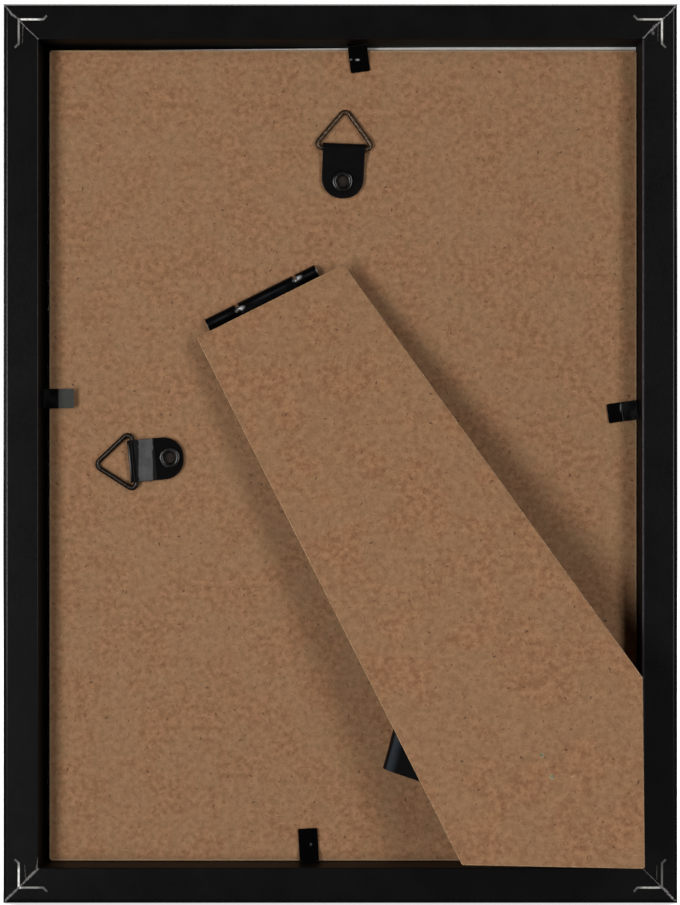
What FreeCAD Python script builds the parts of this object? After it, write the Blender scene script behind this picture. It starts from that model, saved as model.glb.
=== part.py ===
"""Easel back photo frame, 13 x 18 cm, seen and described from its back.

The frame stands upright on its bottom rail. World axes: +Z up, +Y out of the back, origin in the
middle of the bottom rail's underside. Left and right are as seen from the back.
"""

import FreeCAD, Part
import Sketcher
import math
import os
import re

Vector = FreeCAD.Vector

# Driving sizes in mm and degrees. Each is set once here and read by name everywhere else.
SIZES = {
    # moulding
    "frame_width": 147,
    "frame_height": 196,
    "frame_depth": 18,
    "rail_back": 7.8,
    "rail_face": 13.5,
    "face_lip": 4,
    "face_round": 1.2,
    "sight_bevel": 1.4,
    "outer_round": 1.0,
    "back_round": 0.35,
    "overrun": 2,
    # corner nails
    "nail_inset": 3.45,
    "nail_arm": 5.3,
    "nail_flare": 0.85,
    "nail_gauge": 0.45,
    "nail_depth": 8,
    "nail_sink": 0.05,
    "nail_play": 0.05,
    # what lies in the rebate
    "glass_gauge": 2,
    "glass_play": 0.5,
    "glass_arris": 0.2,
    "insert_gauge": 0.3,
    "insert_play": 1.5,
    "insert_shift": 0.7,
    "insert_foot": 0.55,
    "insert_turn": 0.385,
    "board_gauge": 2.5,
    "board_left_gap": 1.3,
    "board_right_gap": 0.1,
    "board_top_gap": 1.0,
    "board_foot_gap": 0.1,
    "board_round": 0.8,
    "board_arris": 0.2,
    # flexible retainer tabs
    "tab_width": 4.3,
    "tab_gauge": 0.4,
    "tab_lift": 1.45,
    "tab_embed": 6,
    "tab_point": 1.8,
    "tab_play": 0.05,
    "tab_bend_out": 0.35,
    "tab_bend_gap": 0.08,
    "tab_kink_out": 3.6,
    "tab_kink_bend": 0.5,
    "tab_touch": 0.08,
    "tab_round": 0.35,
    "top_tab_place": -3.7,
    "top_tab_turn": 7.5,
    "top_tab_reach": 6.0,
    "top_tab_rise": 0.25,
    "right_tab_place": 9.7,
    "right_tab_turn": 8,
    "right_tab_reach": 6.7,
    "right_tab_rise": 0.15,
    "bottom_tab_place": -6.8,
    "bottom_tab_turn": 3.5,
    "bottom_tab_reach": 7.4,
    "bottom_tab_rise": 0.3,
    "left_tab_place": -12.1,
    "left_tab_turn": 0.5,
    "left_tab_reach": 7.0,
    "left_tab_rise": 1.7,
    # hangers
    "strap_width": 9.3,
    "strap_gauge": 0.5,
    "strap_length": 12.1,
    "strap_seat": 0.05,
    "strap_split": 0.1,
    "strap_flat": 3.1,
    "strap_bend": 1.5,
    "strap_end_round": 4.4,
    "strap_fold_share": 2.36,
    "wire_gauge": 1.15,
    "wire_play": 0.08,
    "ring_half_base": 6.85,
    "ring_height": 8.8,
    "ring_base_round": 1.0,
    "ring_apex_round": 1.15,
    "ring_split": 0.3,
    "ring_rest": 0.05,
    "rivet_shank": 3.3,
    "rivet_hole": 2.55,
    "rivet_hole_depth": 1.4,
    "rivet_rim": 4.7,
    "rivet_rim_height": 0.55,
    "rivet_rim_bevel": 0.2,
    "rivet_head": 5.2,
    "rivet_head_gauge": 0.5,
    "rivet_play": 0.05,
    "top_hanger_edge": 30.15,
    "top_hanger_aside": 0.5,
    "top_hanger_turn": -2.3,
    "top_rivet_setback": 8.4,
    "left_hanger_edge": 28.05,
    "left_hanger_aside": -0.95,
    "left_hanger_turn": 95.5,
    "left_rivet_setback": 9.05,
    # hinge
    "hinge_across_share": -0.2633,
    "hinge_up_share": 0.3814,
    "hinge_turn": 26.5,
    "hinge_length": 27,
    "hinge_lift": 1.6,
    "leaf_gauge": 0.5,
    "leaf_reach": 13,
    "leaf_step_near": 0.5,
    "leaf_step_far": 1.3,
    "leaf_step_bend": 0.5,
    "leaf_play": 0.03,
    "knuckle_left": 7.3,
    "knuckle_right": 4.7,
    "knuckle_gap": 0.8,
    "knuckle_relief": 0.35,
    "knuckle_flat": 0.02,
    "knuckle_mouth": 0.15,
    "pin_gauge": 1.5,
    "pin_play": 0.05,
    "pin_proud": 0.2,
    "pin_bevel": 0.2,
    "prong_width": 1.6,
    "prong_tip": 0.8,
    "prong_length": 1.6,
    "prong_place": 8.5,
    "prong_near": 5,
    "prong_pitch": 5,
    "prong_play": 0.05,
    # strut
    "strut_gauge": 2.8,
    "strut_opening_angle": 9.5,
    "strut_top_left": 16.75,
    "strut_top_right": 19.25,
    "strut_top_gap": 2.5,
    "strut_side_play": 0.5,
    "strut_foot_side": 40.1,
    "strut_foot_base": 38.4,
    "strut_foot_rise": 0.55,
    "strut_round": 0.5,
    "strut_arris": 0.2,
    # stay ribbon and its staples
    "ribbon_width": 15,
    "ribbon_gauge": 0.35,
    "ribbon_gap": 0.08,
    "ribbon_turn": -15.5,
    "ribbon_from_foot_side": 53.87,
    "ribbon_from_foot": 27.78,
    "ribbon_loop": 3.3,
    "ribbon_root_run": 24,
    "ribbon_stay_run": 33,
    "ribbon_tail": 4,
    "staple_gauge": 0.5,
    "staple_crown": 5.6,
    "staple_bite": 2.1,
    "staple_play": 0.05,
    "stay_from_foot_side": 8.63,
    "stay_from_foot": 28.34,
}

doc = FreeCAD.newDocument("easel_back_photo_frame")
sheet = doc.addObject("Spreadsheet::Sheet", "sizes")
for row, (alias, amount) in enumerate(SIZES.items(), start=1):
    sheet.set(f"A{row}", alias)
    sheet.set(f"B{row}", str(amount))
    sheet.setAlias(f"B{row}", alias)
doc.recompute()

# Levels and spans that several pieces share, as expressions in size names.
# Depths are counted from the middle of the frame's depth, outwards at the back.
REBATE_ACROSS = "(frame_width / 2 - rail_back)"
REBATE_UP = "(frame_height / 2 - rail_back)"
LIP_BACK = "(face_lip - frame_depth / 2)"
GLASS_BACK = "(face_lip + glass_gauge - frame_depth / 2)"
BOARD_FRONT = "(face_lip + glass_gauge + insert_gauge - frame_depth / 2)"
BOARD_BACK = "(face_lip + glass_gauge + insert_gauge + board_gauge - frame_depth / 2)"
FRAME_BACK = "(frame_depth / 2)"

# The hinge's middle, and the corner of the rebate where the strut's foot lies when it is folded.
HINGE_ACROSS = f"(hinge_across_share * {REBATE_ACROSS})"
HINGE_UP = f"(hinge_up_share * {REBATE_UP})"
FOOT_ACROSS = f"({REBATE_ACROSS} - strut_side_play)"
FOOT_UP = f"(strut_side_play - {REBATE_UP})"
RIBBON_ACROSS = f"({FOOT_ACROSS} - ribbon_from_foot_side)"
RIBBON_UP = f"({FOOT_UP} + ribbon_from_foot)"


def formula(text):
    """The expression with each size name pointing at the sheet."""
    return re.sub(r"[a-z]\w*", lambda word: f"sizes.{word[0]}" if word[0] in SIZES else word[0], text)


def size(text):
    """The present number of an expression in size names."""
    return float(sheet.evalExpression(formula(text)))


def bind(thing, name, text):
    """Ties a property to an expression in size names."""
    thing.setExpression(name, formula(text))


def seen_from_back(across="0", up="0", out="0", turn="0", tilt="0"):
    """Where a piece drawn as seen from the back goes: x to the right, y up, z out of the back.

    The place is counted from the middle of the frame. The turn is about z, the tilt about the
    turned x.
    """
    flip = FreeCAD.Placement(Vector(0, 0, size("frame_height / 2")), FreeCAD.Rotation(Vector(0, 1, 1), 180))
    spot = Vector(size(across), size(up), size(out))
    turned = FreeCAD.Placement(spot, FreeCAD.Rotation(Vector(0, 0, 1), size(turn)))
    tilted = FreeCAD.Placement(Vector(0, 0, 0), FreeCAD.Rotation(Vector(1, 0, 0), size(tilt)))
    return flip * turned * tilted


def shifted(across="0", up="0", out="0", turn="0", tilt="0"):
    """A place within a piece's own axes, as a step, a turn about z and a tilt about the turned x."""
    spot = Vector(size(across), size(up), size(out))
    turned = FreeCAD.Placement(spot, FreeCAD.Rotation(Vector(0, 0, 1), size(turn)))
    return turned * FreeCAD.Placement(Vector(0, 0, 0), FreeCAD.Rotation(Vector(1, 0, 0), size(tilt)))


PIECES = []
TOUCH = 1e-4


def new_piece(label, placement):
    """An empty body with its node name, at its place."""
    piece = doc.addObject("PartDesign::Body", label)
    piece.Label = label
    piece.Placement = placement
    PIECES.append(piece)
    return piece


def new_sketch(piece, plane="XY_Plane", out="0", across="0", up="0", turn="0"):
    """A sketch on one of the piece's own planes, set out along the plane's normal."""
    sketch = piece.newObject("Sketcher::SketchObject", f"{piece.Label}_sketch")
    base = next(face for face in piece.Origin.OriginFeatures if face.Role == plane)
    sketch.AttachmentSupport = [(base, "")]
    sketch.MapMode = "FlatFace"
    sketch.AttachmentOffset = FreeCAD.Placement(Vector(0, 0, 0), FreeCAD.Rotation(Vector(0, 0, 1), size(turn)))
    for amount, text in (("Base.x", across), ("Base.y", up), ("Base.z", out), ("Rotation.Angle", turn)):
        if text != "0":
            bind(sketch, f"AttachmentOffset.{amount}", text)
    return sketch


def pin_point(rules, geometry, end, x, y):
    """Adds the two rules that hold a point at x, y; each rule is paired with its expression."""
    for kind, axis, text in (("DistanceX", -2, x), ("DistanceY", -1, y)):
        if text == "0":
            rules.append((Sketcher.Constraint("PointOnObject", geometry, end, axis), None))
        else:
            rules.append((Sketcher.Constraint(kind, -1, 1, geometry, end, size(text)), text))


def apply_rules(sketch, rules):
    """Gives the sketch its constraints and ties the dimensions to the sheet."""
    for number, (_, text) in zip(sketch.addConstraint([rule for rule, _ in rules]), rules):
        if text is not None:
            bind(sketch, f"Constraints[{number}]", text)


def draw(sketch, corners, closed=True):
    """Straight edges through corners (x, y) or (x, y, radius), all given as expressions.

    A corner with a radius is held as a virtual sharp and rounded by an arc tangent to both edges.
    """
    count = len(corners)
    first = sketch.GeometryCount
    spots = [Vector(size(corner[0]), size(corner[1]), 0) for corner in corners]
    radii = [size(corner[2]) if len(corner) > 2 else 0 for corner in corners]

    def edge_end(here, there):
        """The end, near corner here, of the edge to corner there."""
        towards = (spots[there] - spots[here]).normalize()
        if not radii[here]:
            return spots[here]
        before = spots[here - 1] - spots[here]
        after = spots[(here + 1) % count] - spots[here]
        return spots[here] + towards * (radii[here] / math.tan(before.getAngle(after) / 2))

    edges = count if closed else count - 1
    for here in range(edges):
        there = (here + 1) % count
        sketch.addGeometry(Part.LineSegment(edge_end(here, there), edge_end(there, here)), False)

    rules = []
    for here, corner in enumerate(corners):
        before = first + (here - 1) % count
        after = first + here
        if not closed and here == 0:
            pin_point(rules, after, 1, corner[0], corner[1])
        elif not closed and here == count - 1:
            pin_point(rules, before, 2, corner[0], corner[1])
        elif not radii[here]:
            rules.append((Sketcher.Constraint("Coincident", before, 2, after, 1), None))
            pin_point(rules, after, 1, corner[0], corner[1])
        else:
            start = edge_end(here, here - 1)
            finish = edge_end(here, (here + 1) % count)
            inwards = (start - spots[here]) + (finish - spots[here])
            half = (start - spots[here]).getAngle(finish - spots[here]) / 2
            centre = spots[here] + inwards.normalize() * (radii[here] / math.sin(half))
            left_turn = (start - centre).cross(finish - centre).z > 0
            low, high = (start, finish) if left_turn else (finish, start)
            from_angle = math.atan2(low.y - centre.y, low.x - centre.x)
            to_angle = math.atan2(high.y - centre.y, high.x - centre.x)
            to_angle += math.tau if to_angle < from_angle else 0
            circle = Part.Circle(centre, Vector(0, 0, 1), radii[here])
            arc = sketch.addGeometry(Part.ArcOfCircle(circle, from_angle, to_angle), False)
            sharp = sketch.addGeometry(Part.Point(spots[here]), True)
            start_end, finish_end = (1, 2) if left_turn else (2, 1)
            rules.append((Sketcher.Constraint("Tangent", before, 2, arc, start_end), None))
            rules.append((Sketcher.Constraint("Tangent", after, 1, arc, finish_end), None))
            rules.append((Sketcher.Constraint("PointOnObject", sharp, 1, before), None))
            rules.append((Sketcher.Constraint("PointOnObject", sharp, 1, after), None))
            rules.append((Sketcher.Constraint("Radius", arc, radii[here]), corner[2]))
            pin_point(rules, sharp, 1, corner[0], corner[1])
    apply_rules(sketch, rules)


def draw_box(sketch, left, bottom, right, top):
    """A rectangle between two corners."""
    draw(sketch, [(left, bottom), (right, bottom), (right, top), (left, top)])


def draw_circle(sketch, x, y, radius):
    """A circle held by its centre and radius."""
    circle = sketch.addGeometry(Part.Circle(Vector(size(x), size(y), 0), Vector(0, 0, 1), size(radius)), False)
    rules = [(Sketcher.Constraint("Radius", circle, size(radius)), radius)]
    pin_point(rules, circle, 3, x, y)
    apply_rules(sketch, rules)


def pad(piece, sketch, length, both_ways=False):
    """Thickens a sketch along its normal, or to both sides of it."""
    feature = piece.newObject("PartDesign::Pad", f"{piece.Label}_pad")
    feature.Profile = sketch
    feature.SideType = "Symmetric" if both_ways else "One side"
    bind(feature, "Length", length)


def cut(piece, sketch, depth=None, both_ways=False, along_normal=False):
    """Pockets a sketch to a depth, or through everything, and makes sure that it removed something."""
    doc.recompute()
    before = piece.Shape.Volume
    feature = piece.newObject("PartDesign::Pocket", f"{piece.Label}_pocket")
    feature.Profile = sketch
    feature.SideType = "Symmetric" if both_ways else "One side"
    feature.Reversed = along_normal
    if depth is None:
        feature.Type = "ThroughAll"
    else:
        bind(feature, "Length", depth)
    doc.recompute()
    if piece.Shape.Volume >= before:
        raise RuntimeError(f"a pocket of {piece.Label} cuts nothing")


def sweep(piece, section, path):
    """Runs a section along a path."""
    feature = piece.newObject("PartDesign::AdditivePipe", f"{piece.Label}_sweep")
    feature.Profile = section
    feature.Spine = path


def soften(piece, kind, amount, chosen):
    """Fillets or chamfers the edges for which chosen says yes."""
    doc.recompute()
    base = piece.Tip
    names = [f"Edge{number}" for number, edge in enumerate(base.Shape.Edges, start=1) if chosen(edge)]
    feature = piece.newObject(f"PartDesign::{kind}", f"{piece.Label}_{kind.lower()}")
    feature.Base = (base, names)
    bind(feature, "Radius" if kind == "Fillet" else "Size", amount)


def runs_along(edge, axis):
    """Whether a straight edge is parallel to an axis."""
    run = edge.Vertexes[-1].Point - edge.Vertexes[0].Point
    return run.Length > 0 and abs(run.normalize().dot(axis)) > math.cos(math.radians(1))


def lies_at(edge, level):
    """Whether an edge lies flat at a level of its piece's z."""
    height = size(level)
    box = edge.BoundBox
    return math.isclose(box.ZMin, height, abs_tol=TOUCH) and math.isclose(box.ZMax, height, abs_tol=TOUCH)


# Moulding rails and corner nails

# Each side of the frame: its rail's length, the place of the middle of its outer edge and its turn.
# A rail's own x runs along it, y inwards from the outer edge and z out of the back.
SIDES = {
    "bottom": ("frame_width", "0", "-frame_height / 2", "0"),
    "right": ("frame_height", "frame_width / 2", "0", "90"),
    "top": ("frame_width", "0", "frame_height / 2", "180"),
    "left": ("frame_height", "-frame_width / 2", "0", "270"),
}


def draw_nail(sketch, across, up, hand, play):
    """The V of a corner nail: its apex at across, up, one arm along -x * hand, the other along +y.

    The far ends of both arms flare towards the outside of the frame.
    """
    half = f"(nail_gauge / 2 + {play})"
    miter = f"({half} * tan(22.5))"
    lip = f"({half} * sin(45))"
    flare = f"(nail_flare + {play})"
    one_arm = [
        (half, f"-{half}"),
        (f"{miter} - nail_arm", f"-{half}"),
        (f"{lip} - nail_arm - {flare}", f"-{flare} - {lip}"),
        (f"-nail_arm - {flare} - {lip}", f"{lip} - {flare}"),
        (f"-nail_arm - {miter}", half),
    ]
    corners = one_arm + [(f"-{half}", half)]
    # The other arm mirrors the first about the mitre.
    corners += [(f"-({y})", f"-({x})") for x, y in reversed(one_arm[1:])]
    draw(sketch, [(f"{across} + {hand} * ({x})", f"{up} + ({y})") for x, y in corners])


def draw_anchor(sketch, top, play):
    """The half of a tab that is driven into the rail: parallel sides and a point."""
    half = f"(tab_width / 2 + {play})"
    draw(sketch, [
        (f"-{half}", top),
        (f"-{half}", "tab_point - tab_embed"),
        ("0", f"-tab_embed - {play}"),
        (half, "tab_point - tab_embed"),
        (half, top),
    ])


TAB_LEVEL = f"({BOARD_BACK} + tab_lift + tab_gauge / 2)"


def make_rail(side):
    """One mitred rail, with its slots for two corner nails and a tab."""
    length, across, up, turn = SIDES[side]
    rail = new_piece(f"rail_{side}", seen_from_back(across, up, turn=turn))

    section = new_sketch(rail, "YZ_Plane")
    draw(section, [
        ("0", "-frame_depth / 2", "face_round"),
        ("rail_face - sight_bevel", "-frame_depth / 2"),
        ("rail_face", "sight_bevel - frame_depth / 2"),
        ("rail_face", LIP_BACK),
        ("rail_back", LIP_BACK),
        ("rail_back", FRAME_BACK, "back_round"),
        ("0", FRAME_BACK, "outer_round"),
    ])
    pad(rail, section, length, both_ways=True)

    mitres = new_sketch(rail)
    deep = "(rail_face + overrun)"
    for hand in ("1", "-1"):
        draw(mitres, [
            (f"{hand} * ({length} / 2 + overrun)", "-overrun"),
            (f"{hand} * ({length} / 2 + overrun)", deep),
            (f"{hand} * ({length} / 2 - {deep})", deep),
        ])
    cut(rail, mitres, both_ways=True)

    slots = new_sketch(rail, out=FRAME_BACK)
    for hand in ("1", "-1"):
        draw_nail(slots, f"{hand} * ({length} / 2 - nail_inset)", "nail_inset", hand, "nail_play")
    cut(rail, slots, "nail_depth + nail_sink + nail_play")

    slot = new_sketch(rail, out=TAB_LEVEL, across=f"{side}_tab_place", up="rail_back", turn=f"{side}_tab_turn")
    draw_anchor(slot, "overrun", "tab_play")
    cut(rail, slot, "tab_gauge + 2 * tab_play", both_ways=True)


def make_nail(label, across, up, turn):
    """One V-nail, driven in a hair below the back."""
    out = f"{FRAME_BACK} - nail_sink - nail_depth"
    nail = new_piece(label, seen_from_back(across, up, out, turn))
    outline = new_sketch(nail)
    draw_nail(outline, "0", "0", "1", "0")
    pad(nail, outline, "nail_depth")


def make_tab(side):
    """One flexible tab: the anchor in the rail, and the blade that turns down over the board."""
    _, across, up, turn = SIDES[side]
    place = seen_from_back(across, up, turn=turn)
    place = place * shifted(f"{side}_tab_place", "rail_back", TAB_LEVEL, f"{side}_tab_turn")

    anchor = new_piece(f"tab_{side}_anchor", place)
    outline = new_sketch(anchor)
    draw_anchor(outline, "tab_bend_out - tab_bend_gap", "0")
    pad(anchor, outline, "tab_gauge", both_ways=True)

    blade = new_piece(f"tab_{side}", place)
    kink = "(tab_touch - tab_lift)"
    tip = f"({kink} + {side}_tab_rise)"
    profile = new_sketch(blade, "YZ_Plane")
    draw(profile, [
        ("tab_bend_out", "-tab_gauge / 2"),
        ("tab_kink_out", f"{kink} - tab_gauge / 2", "tab_kink_bend + tab_gauge"),
        (f"{side}_tab_reach", f"{tip} - tab_gauge / 2"),
        (f"{side}_tab_reach", f"{tip} + tab_gauge / 2"),
        ("tab_kink_out", f"{kink} + tab_gauge / 2", "tab_kink_bend"),
        ("tab_bend_out", "tab_gauge / 2"),
    ])
    pad(blade, profile, "tab_width", both_ways=True)
    reach = size(f"{side}_tab_reach")

    def at_tip(edge):
        """The two short upright edges at the blade's end."""
        upright = runs_along(edge, Vector(0, 0, 1))
        return upright and edge.CenterOfMass.y > reach - size("tab_gauge")

    soften(blade, "Fillet", "tab_round", at_tip)


for side in SIDES:
    make_rail(side)
    make_tab(side)

NAIL_ACROSS = "(frame_width / 2 - nail_inset)"
NAIL_UP = "(frame_height / 2 - nail_inset)"
make_nail("vnail_bottom_right", NAIL_ACROSS, f"-{NAIL_UP}", "0")
make_nail("vnail_top_right", NAIL_ACROSS, NAIL_UP, "90")
make_nail("vnail_top_left", f"-{NAIL_ACROSS}", NAIL_UP, "180")
make_nail("vnail_bottom_left", f"-{NAIL_ACROSS}", f"-{NAIL_UP}", "270")


# What lies in the rebate

def make_glass():
    """The pane, on the lip, with ground arrises."""
    pane = new_piece("glass_pane", seen_from_back(out=LIP_BACK))
    outline = new_sketch(pane)
    half_across = f"({REBATE_ACROSS} - glass_play)"
    half_up = f"({REBATE_UP} - glass_play)"
    draw_box(outline, f"-{half_across}", f"-{half_up}", half_across, half_up)
    pad(pane, outline, "glass_gauge")
    soften(pane, "Chamfer", "glass_arris", lambda edge: True)


def make_insert():
    """The white sheet behind the glass, slipped a little askew so that it shows above the board."""
    insert = new_piece("paper_insert", seen_from_back("insert_shift", out=GLASS_BACK, turn="insert_turn"))
    outline = new_sketch(insert)
    half_across = f"({REBATE_ACROSS} - insert_play)"
    half_up = f"({REBATE_UP} - insert_foot)"
    draw_box(outline, f"-{half_across}", f"-{half_up}", half_across, half_up)
    pad(insert, outline, "insert_gauge")


# Each hanger's rivet, from the middle of the frame.
HANGERS = {
    "top": ("top_hanger_aside", f"({REBATE_UP} - top_hanger_edge)"),
    "left": (f"(left_hanger_edge - {REBATE_ACROSS})", "left_hanger_aside"),
}


def draw_prong_slots(sketch):
    """Four slots for the prongs of a hinge leaf, in the hinge's own axes."""
    half_across = "(prong_width / 2 + prong_play)"
    half_up = "(leaf_gauge / 2 + prong_play)"
    for row in ("0", "1"):
        up = f"-(prong_near + {row} * prong_pitch)"
        for hand in ("1", "-1"):
            across = f"{hand} * prong_place"
            draw_box(sketch, f"{across} - {half_across}", f"{up} - {half_up}",
                     f"{across} + {half_across}", f"{up} + {half_up}")


def draw_leg_slots(sketch, along_x):
    """Two slots for the legs of a staple whose crown runs along x or y, about the sketch's middle."""
    half = "(staple_gauge / 2 + staple_play)"
    reach = "(staple_crown / 2 - staple_gauge / 2)"
    for hand in ("1", "-1"):
        x, y = (f"{hand} * {reach}", "0") if along_x else ("0", f"{hand} * {reach}")
        draw_box(sketch, f"{x} - {half}", f"{y} - {half}", f"{x} + {half}", f"{y} + {half}")


def make_backboard():
    """The brown board, with its rivet holes, prong slots and staple holes."""
    board = new_piece("backboard", seen_from_back())
    outline = new_sketch(board, out=BOARD_FRONT)
    left = f"board_left_gap - {REBATE_ACROSS}"
    right = f"{REBATE_ACROSS} - board_right_gap"
    foot = f"board_foot_gap - {REBATE_UP}"
    head = f"{REBATE_UP} - board_top_gap"
    draw(outline, [(x, y, "board_round") for x, y in ((left, foot), (right, foot), (right, head), (left, head))])
    pad(board, outline, "board_gauge")
    soften(board, "Chamfer", "board_arris", lambda edge: lies_at(edge, BOARD_BACK))

    holes = new_sketch(board, out=BOARD_BACK)
    recesses = new_sketch(board, out=BOARD_FRONT)
    for across, up in HANGERS.values():
        draw_circle(holes, across, up, "rivet_shank / 2 + rivet_play")
        draw_circle(recesses, across, up, "rivet_head / 2 + rivet_play")
    cut(board, holes)
    cut(board, recesses, "rivet_head_gauge + 2 * rivet_play", along_normal=True)

    prong_slots = new_sketch(board, out=BOARD_BACK, across=HINGE_ACROSS, up=HINGE_UP, turn="hinge_turn")
    draw_prong_slots(prong_slots)
    cut(board, prong_slots, "prong_length + prong_play")

    leg_slots = new_sketch(board, out=BOARD_BACK, across=f"{RIBBON_ACROSS} + ribbon_root_run * cos(ribbon_turn)",
                           up=f"{RIBBON_UP} + ribbon_root_run * sin(ribbon_turn)", turn="ribbon_turn")
    draw_leg_slots(leg_slots, along_x=False)
    cut(board, leg_slots, "staple_bite + staple_play")


make_glass()
make_insert()
make_backboard()


# Hangers: folded strap, triangular ring and rivet

FOLD_RADIUS = "(wire_gauge / 2 + wire_play + strap_gauge / 2)"
WIRE_OUT = f"(strap_seat + strap_gauge / 2 + {FOLD_RADIUS})"
STRAP_TOP = "(strap_seat + 2 * strap_gauge + strap_split)"


def hanger_place(hanger):
    """The rivet's place on the board; y points towards the ring."""
    return seen_from_back(*HANGERS[hanger], BOARD_BACK, f"{hanger}_hanger_turn")


def make_strap(hanger):
    """A steel strip folded round the ring's wire, both layers pierced for the rivet."""
    strap = new_piece(f"hanger_{hanger}_strap", hanger_place(hanger))
    setback = f"{hanger}_rivet_setback"
    free_end = f"(strap_length - {setback})"
    low = "(strap_seat + strap_gauge / 2)"
    high = f"({STRAP_TOP} - strap_gauge / 2)"
    path = new_sketch(strap, "YZ_Plane")
    draw(path, [
        (f"-{free_end}", low),
        (f"{setback} - strap_gauge / 2", low, FOLD_RADIUS),
        (f"{setback} - strap_gauge / 2", f"{low} + strap_fold_share * {FOLD_RADIUS}", FOLD_RADIUS),
        ("strap_flat", high, "strap_bend"),
        (f"-{free_end}", high),
    ], closed=False)
    section = new_sketch(strap, "XZ_Plane", out=free_end)
    draw_box(section, "-strap_width / 2", "strap_seat", "strap_width / 2", "strap_seat + strap_gauge")
    sweep(strap, section, path)

    # The free end is cut round through both layers.
    trim = new_sketch(strap)
    wide = "(strap_width / 2 + overrun)"
    half = "(strap_width / 2)"
    draw(trim, [
        (f"-{wide}", "0"), (f"-{wide}", f"-{free_end} - overrun"), (wide, f"-{free_end} - overrun"), (wide, "0"),
        (half, "0"), (half, f"-{free_end}", "strap_end_round"),
        (f"-{half}", f"-{free_end}", "strap_end_round"), (f"-{half}", "0"),
    ])
    cut(strap, trim, both_ways=True)
    hole = new_sketch(strap)
    draw_circle(hole, "0", "0", "rivet_shank / 2 + rivet_play")
    cut(strap, hole, both_ways=True)


def make_ring(hanger):
    """A wire triangle, its ends meeting inside the strap's fold. Its apex leans on the board."""
    up = f"{hanger}_rivet_setback - strap_gauge / 2 - {FOLD_RADIUS}"
    lean = f"asin(({WIRE_OUT} - wire_gauge / 2 - ring_rest) / ring_height)"
    place = hanger_place(hanger) * shifted(up=up, out=WIRE_OUT, tilt=f"-{lean}")
    ring = new_piece(f"hanger_{hanger}_ring", place)
    path = new_sketch(ring)
    draw(path, [
        ("ring_split / 2", "0"),
        ("ring_half_base", "0", "ring_base_round"),
        ("0", "ring_height", "ring_apex_round"),
        ("-ring_half_base", "0", "ring_base_round"),
        ("-ring_split / 2", "0"),
    ], closed=False)
    section = new_sketch(ring, "YZ_Plane", out="ring_split / 2")
    draw_circle(section, "0", "0", "wire_gauge / 2")
    sweep(ring, section, path)


def make_rivet(hanger):
    """A semi-tubular rivet: head let into the board's front, rim rolled over the strap."""
    rivet = new_piece(f"hanger_{hanger}_rivet", hanger_place(hanger))
    rim_foot = f"({STRAP_TOP} + rivet_play)"
    rim_top = f"({rim_foot} + rivet_rim_height)"
    profile = new_sketch(rivet, "XZ_Plane")
    draw(profile, [
        ("0", "rivet_play - board_gauge"),
        ("rivet_head / 2", "rivet_play - board_gauge"),
        ("rivet_head / 2", "rivet_play + rivet_head_gauge - board_gauge"),
        ("rivet_shank / 2", "rivet_play + rivet_head_gauge - board_gauge"),
        ("rivet_shank / 2", rim_foot),
        ("rivet_rim / 2", rim_foot),
        ("rivet_rim / 2", f"{rim_top} - rivet_rim_bevel"),
        ("rivet_rim / 2 - rivet_rim_bevel", rim_top),
        ("rivet_hole / 2 + rivet_rim_bevel", rim_top),
        ("rivet_hole / 2", f"{rim_top} - rivet_rim_bevel"),
        ("rivet_hole / 2", f"{rim_top} - rivet_hole_depth"),
        ("0", f"{rim_top} - rivet_hole_depth"),
    ])
    feature = rivet.newObject("PartDesign::Revolution", f"{rivet.Label}_turning")
    feature.Profile = profile
    feature.ReferenceAxis = (profile, ["V_Axis"])
    feature.Angle = 360


for hanger in HANGERS:
    make_strap(hanger)
    make_ring(hanger)
    make_rivet(hanger)


# Hinge. Its own x runs along the pin, y away from the strut's foot and z out of the back.

HINGE_PLACE = seen_from_back(HINGE_ACROSS, HINGE_UP, f"{BOARD_BACK} + hinge_lift", "hinge_turn")
STRUT_PLACE = HINGE_PLACE * shifted(tilt="-strut_opening_angle")
ROLL_HALF = "(pin_gauge / 2 + pin_play + leaf_gauge / 2 + knuckle_flat)"
LEAF_MIDDLE = "(hinge_lift - leaf_play - leaf_gauge / 2)"
KNUCKLE_FROM = "(knuckle_left - hinge_length / 2)"
KNUCKLE_TO = "(hinge_length / 2 - knuckle_right)"


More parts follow.
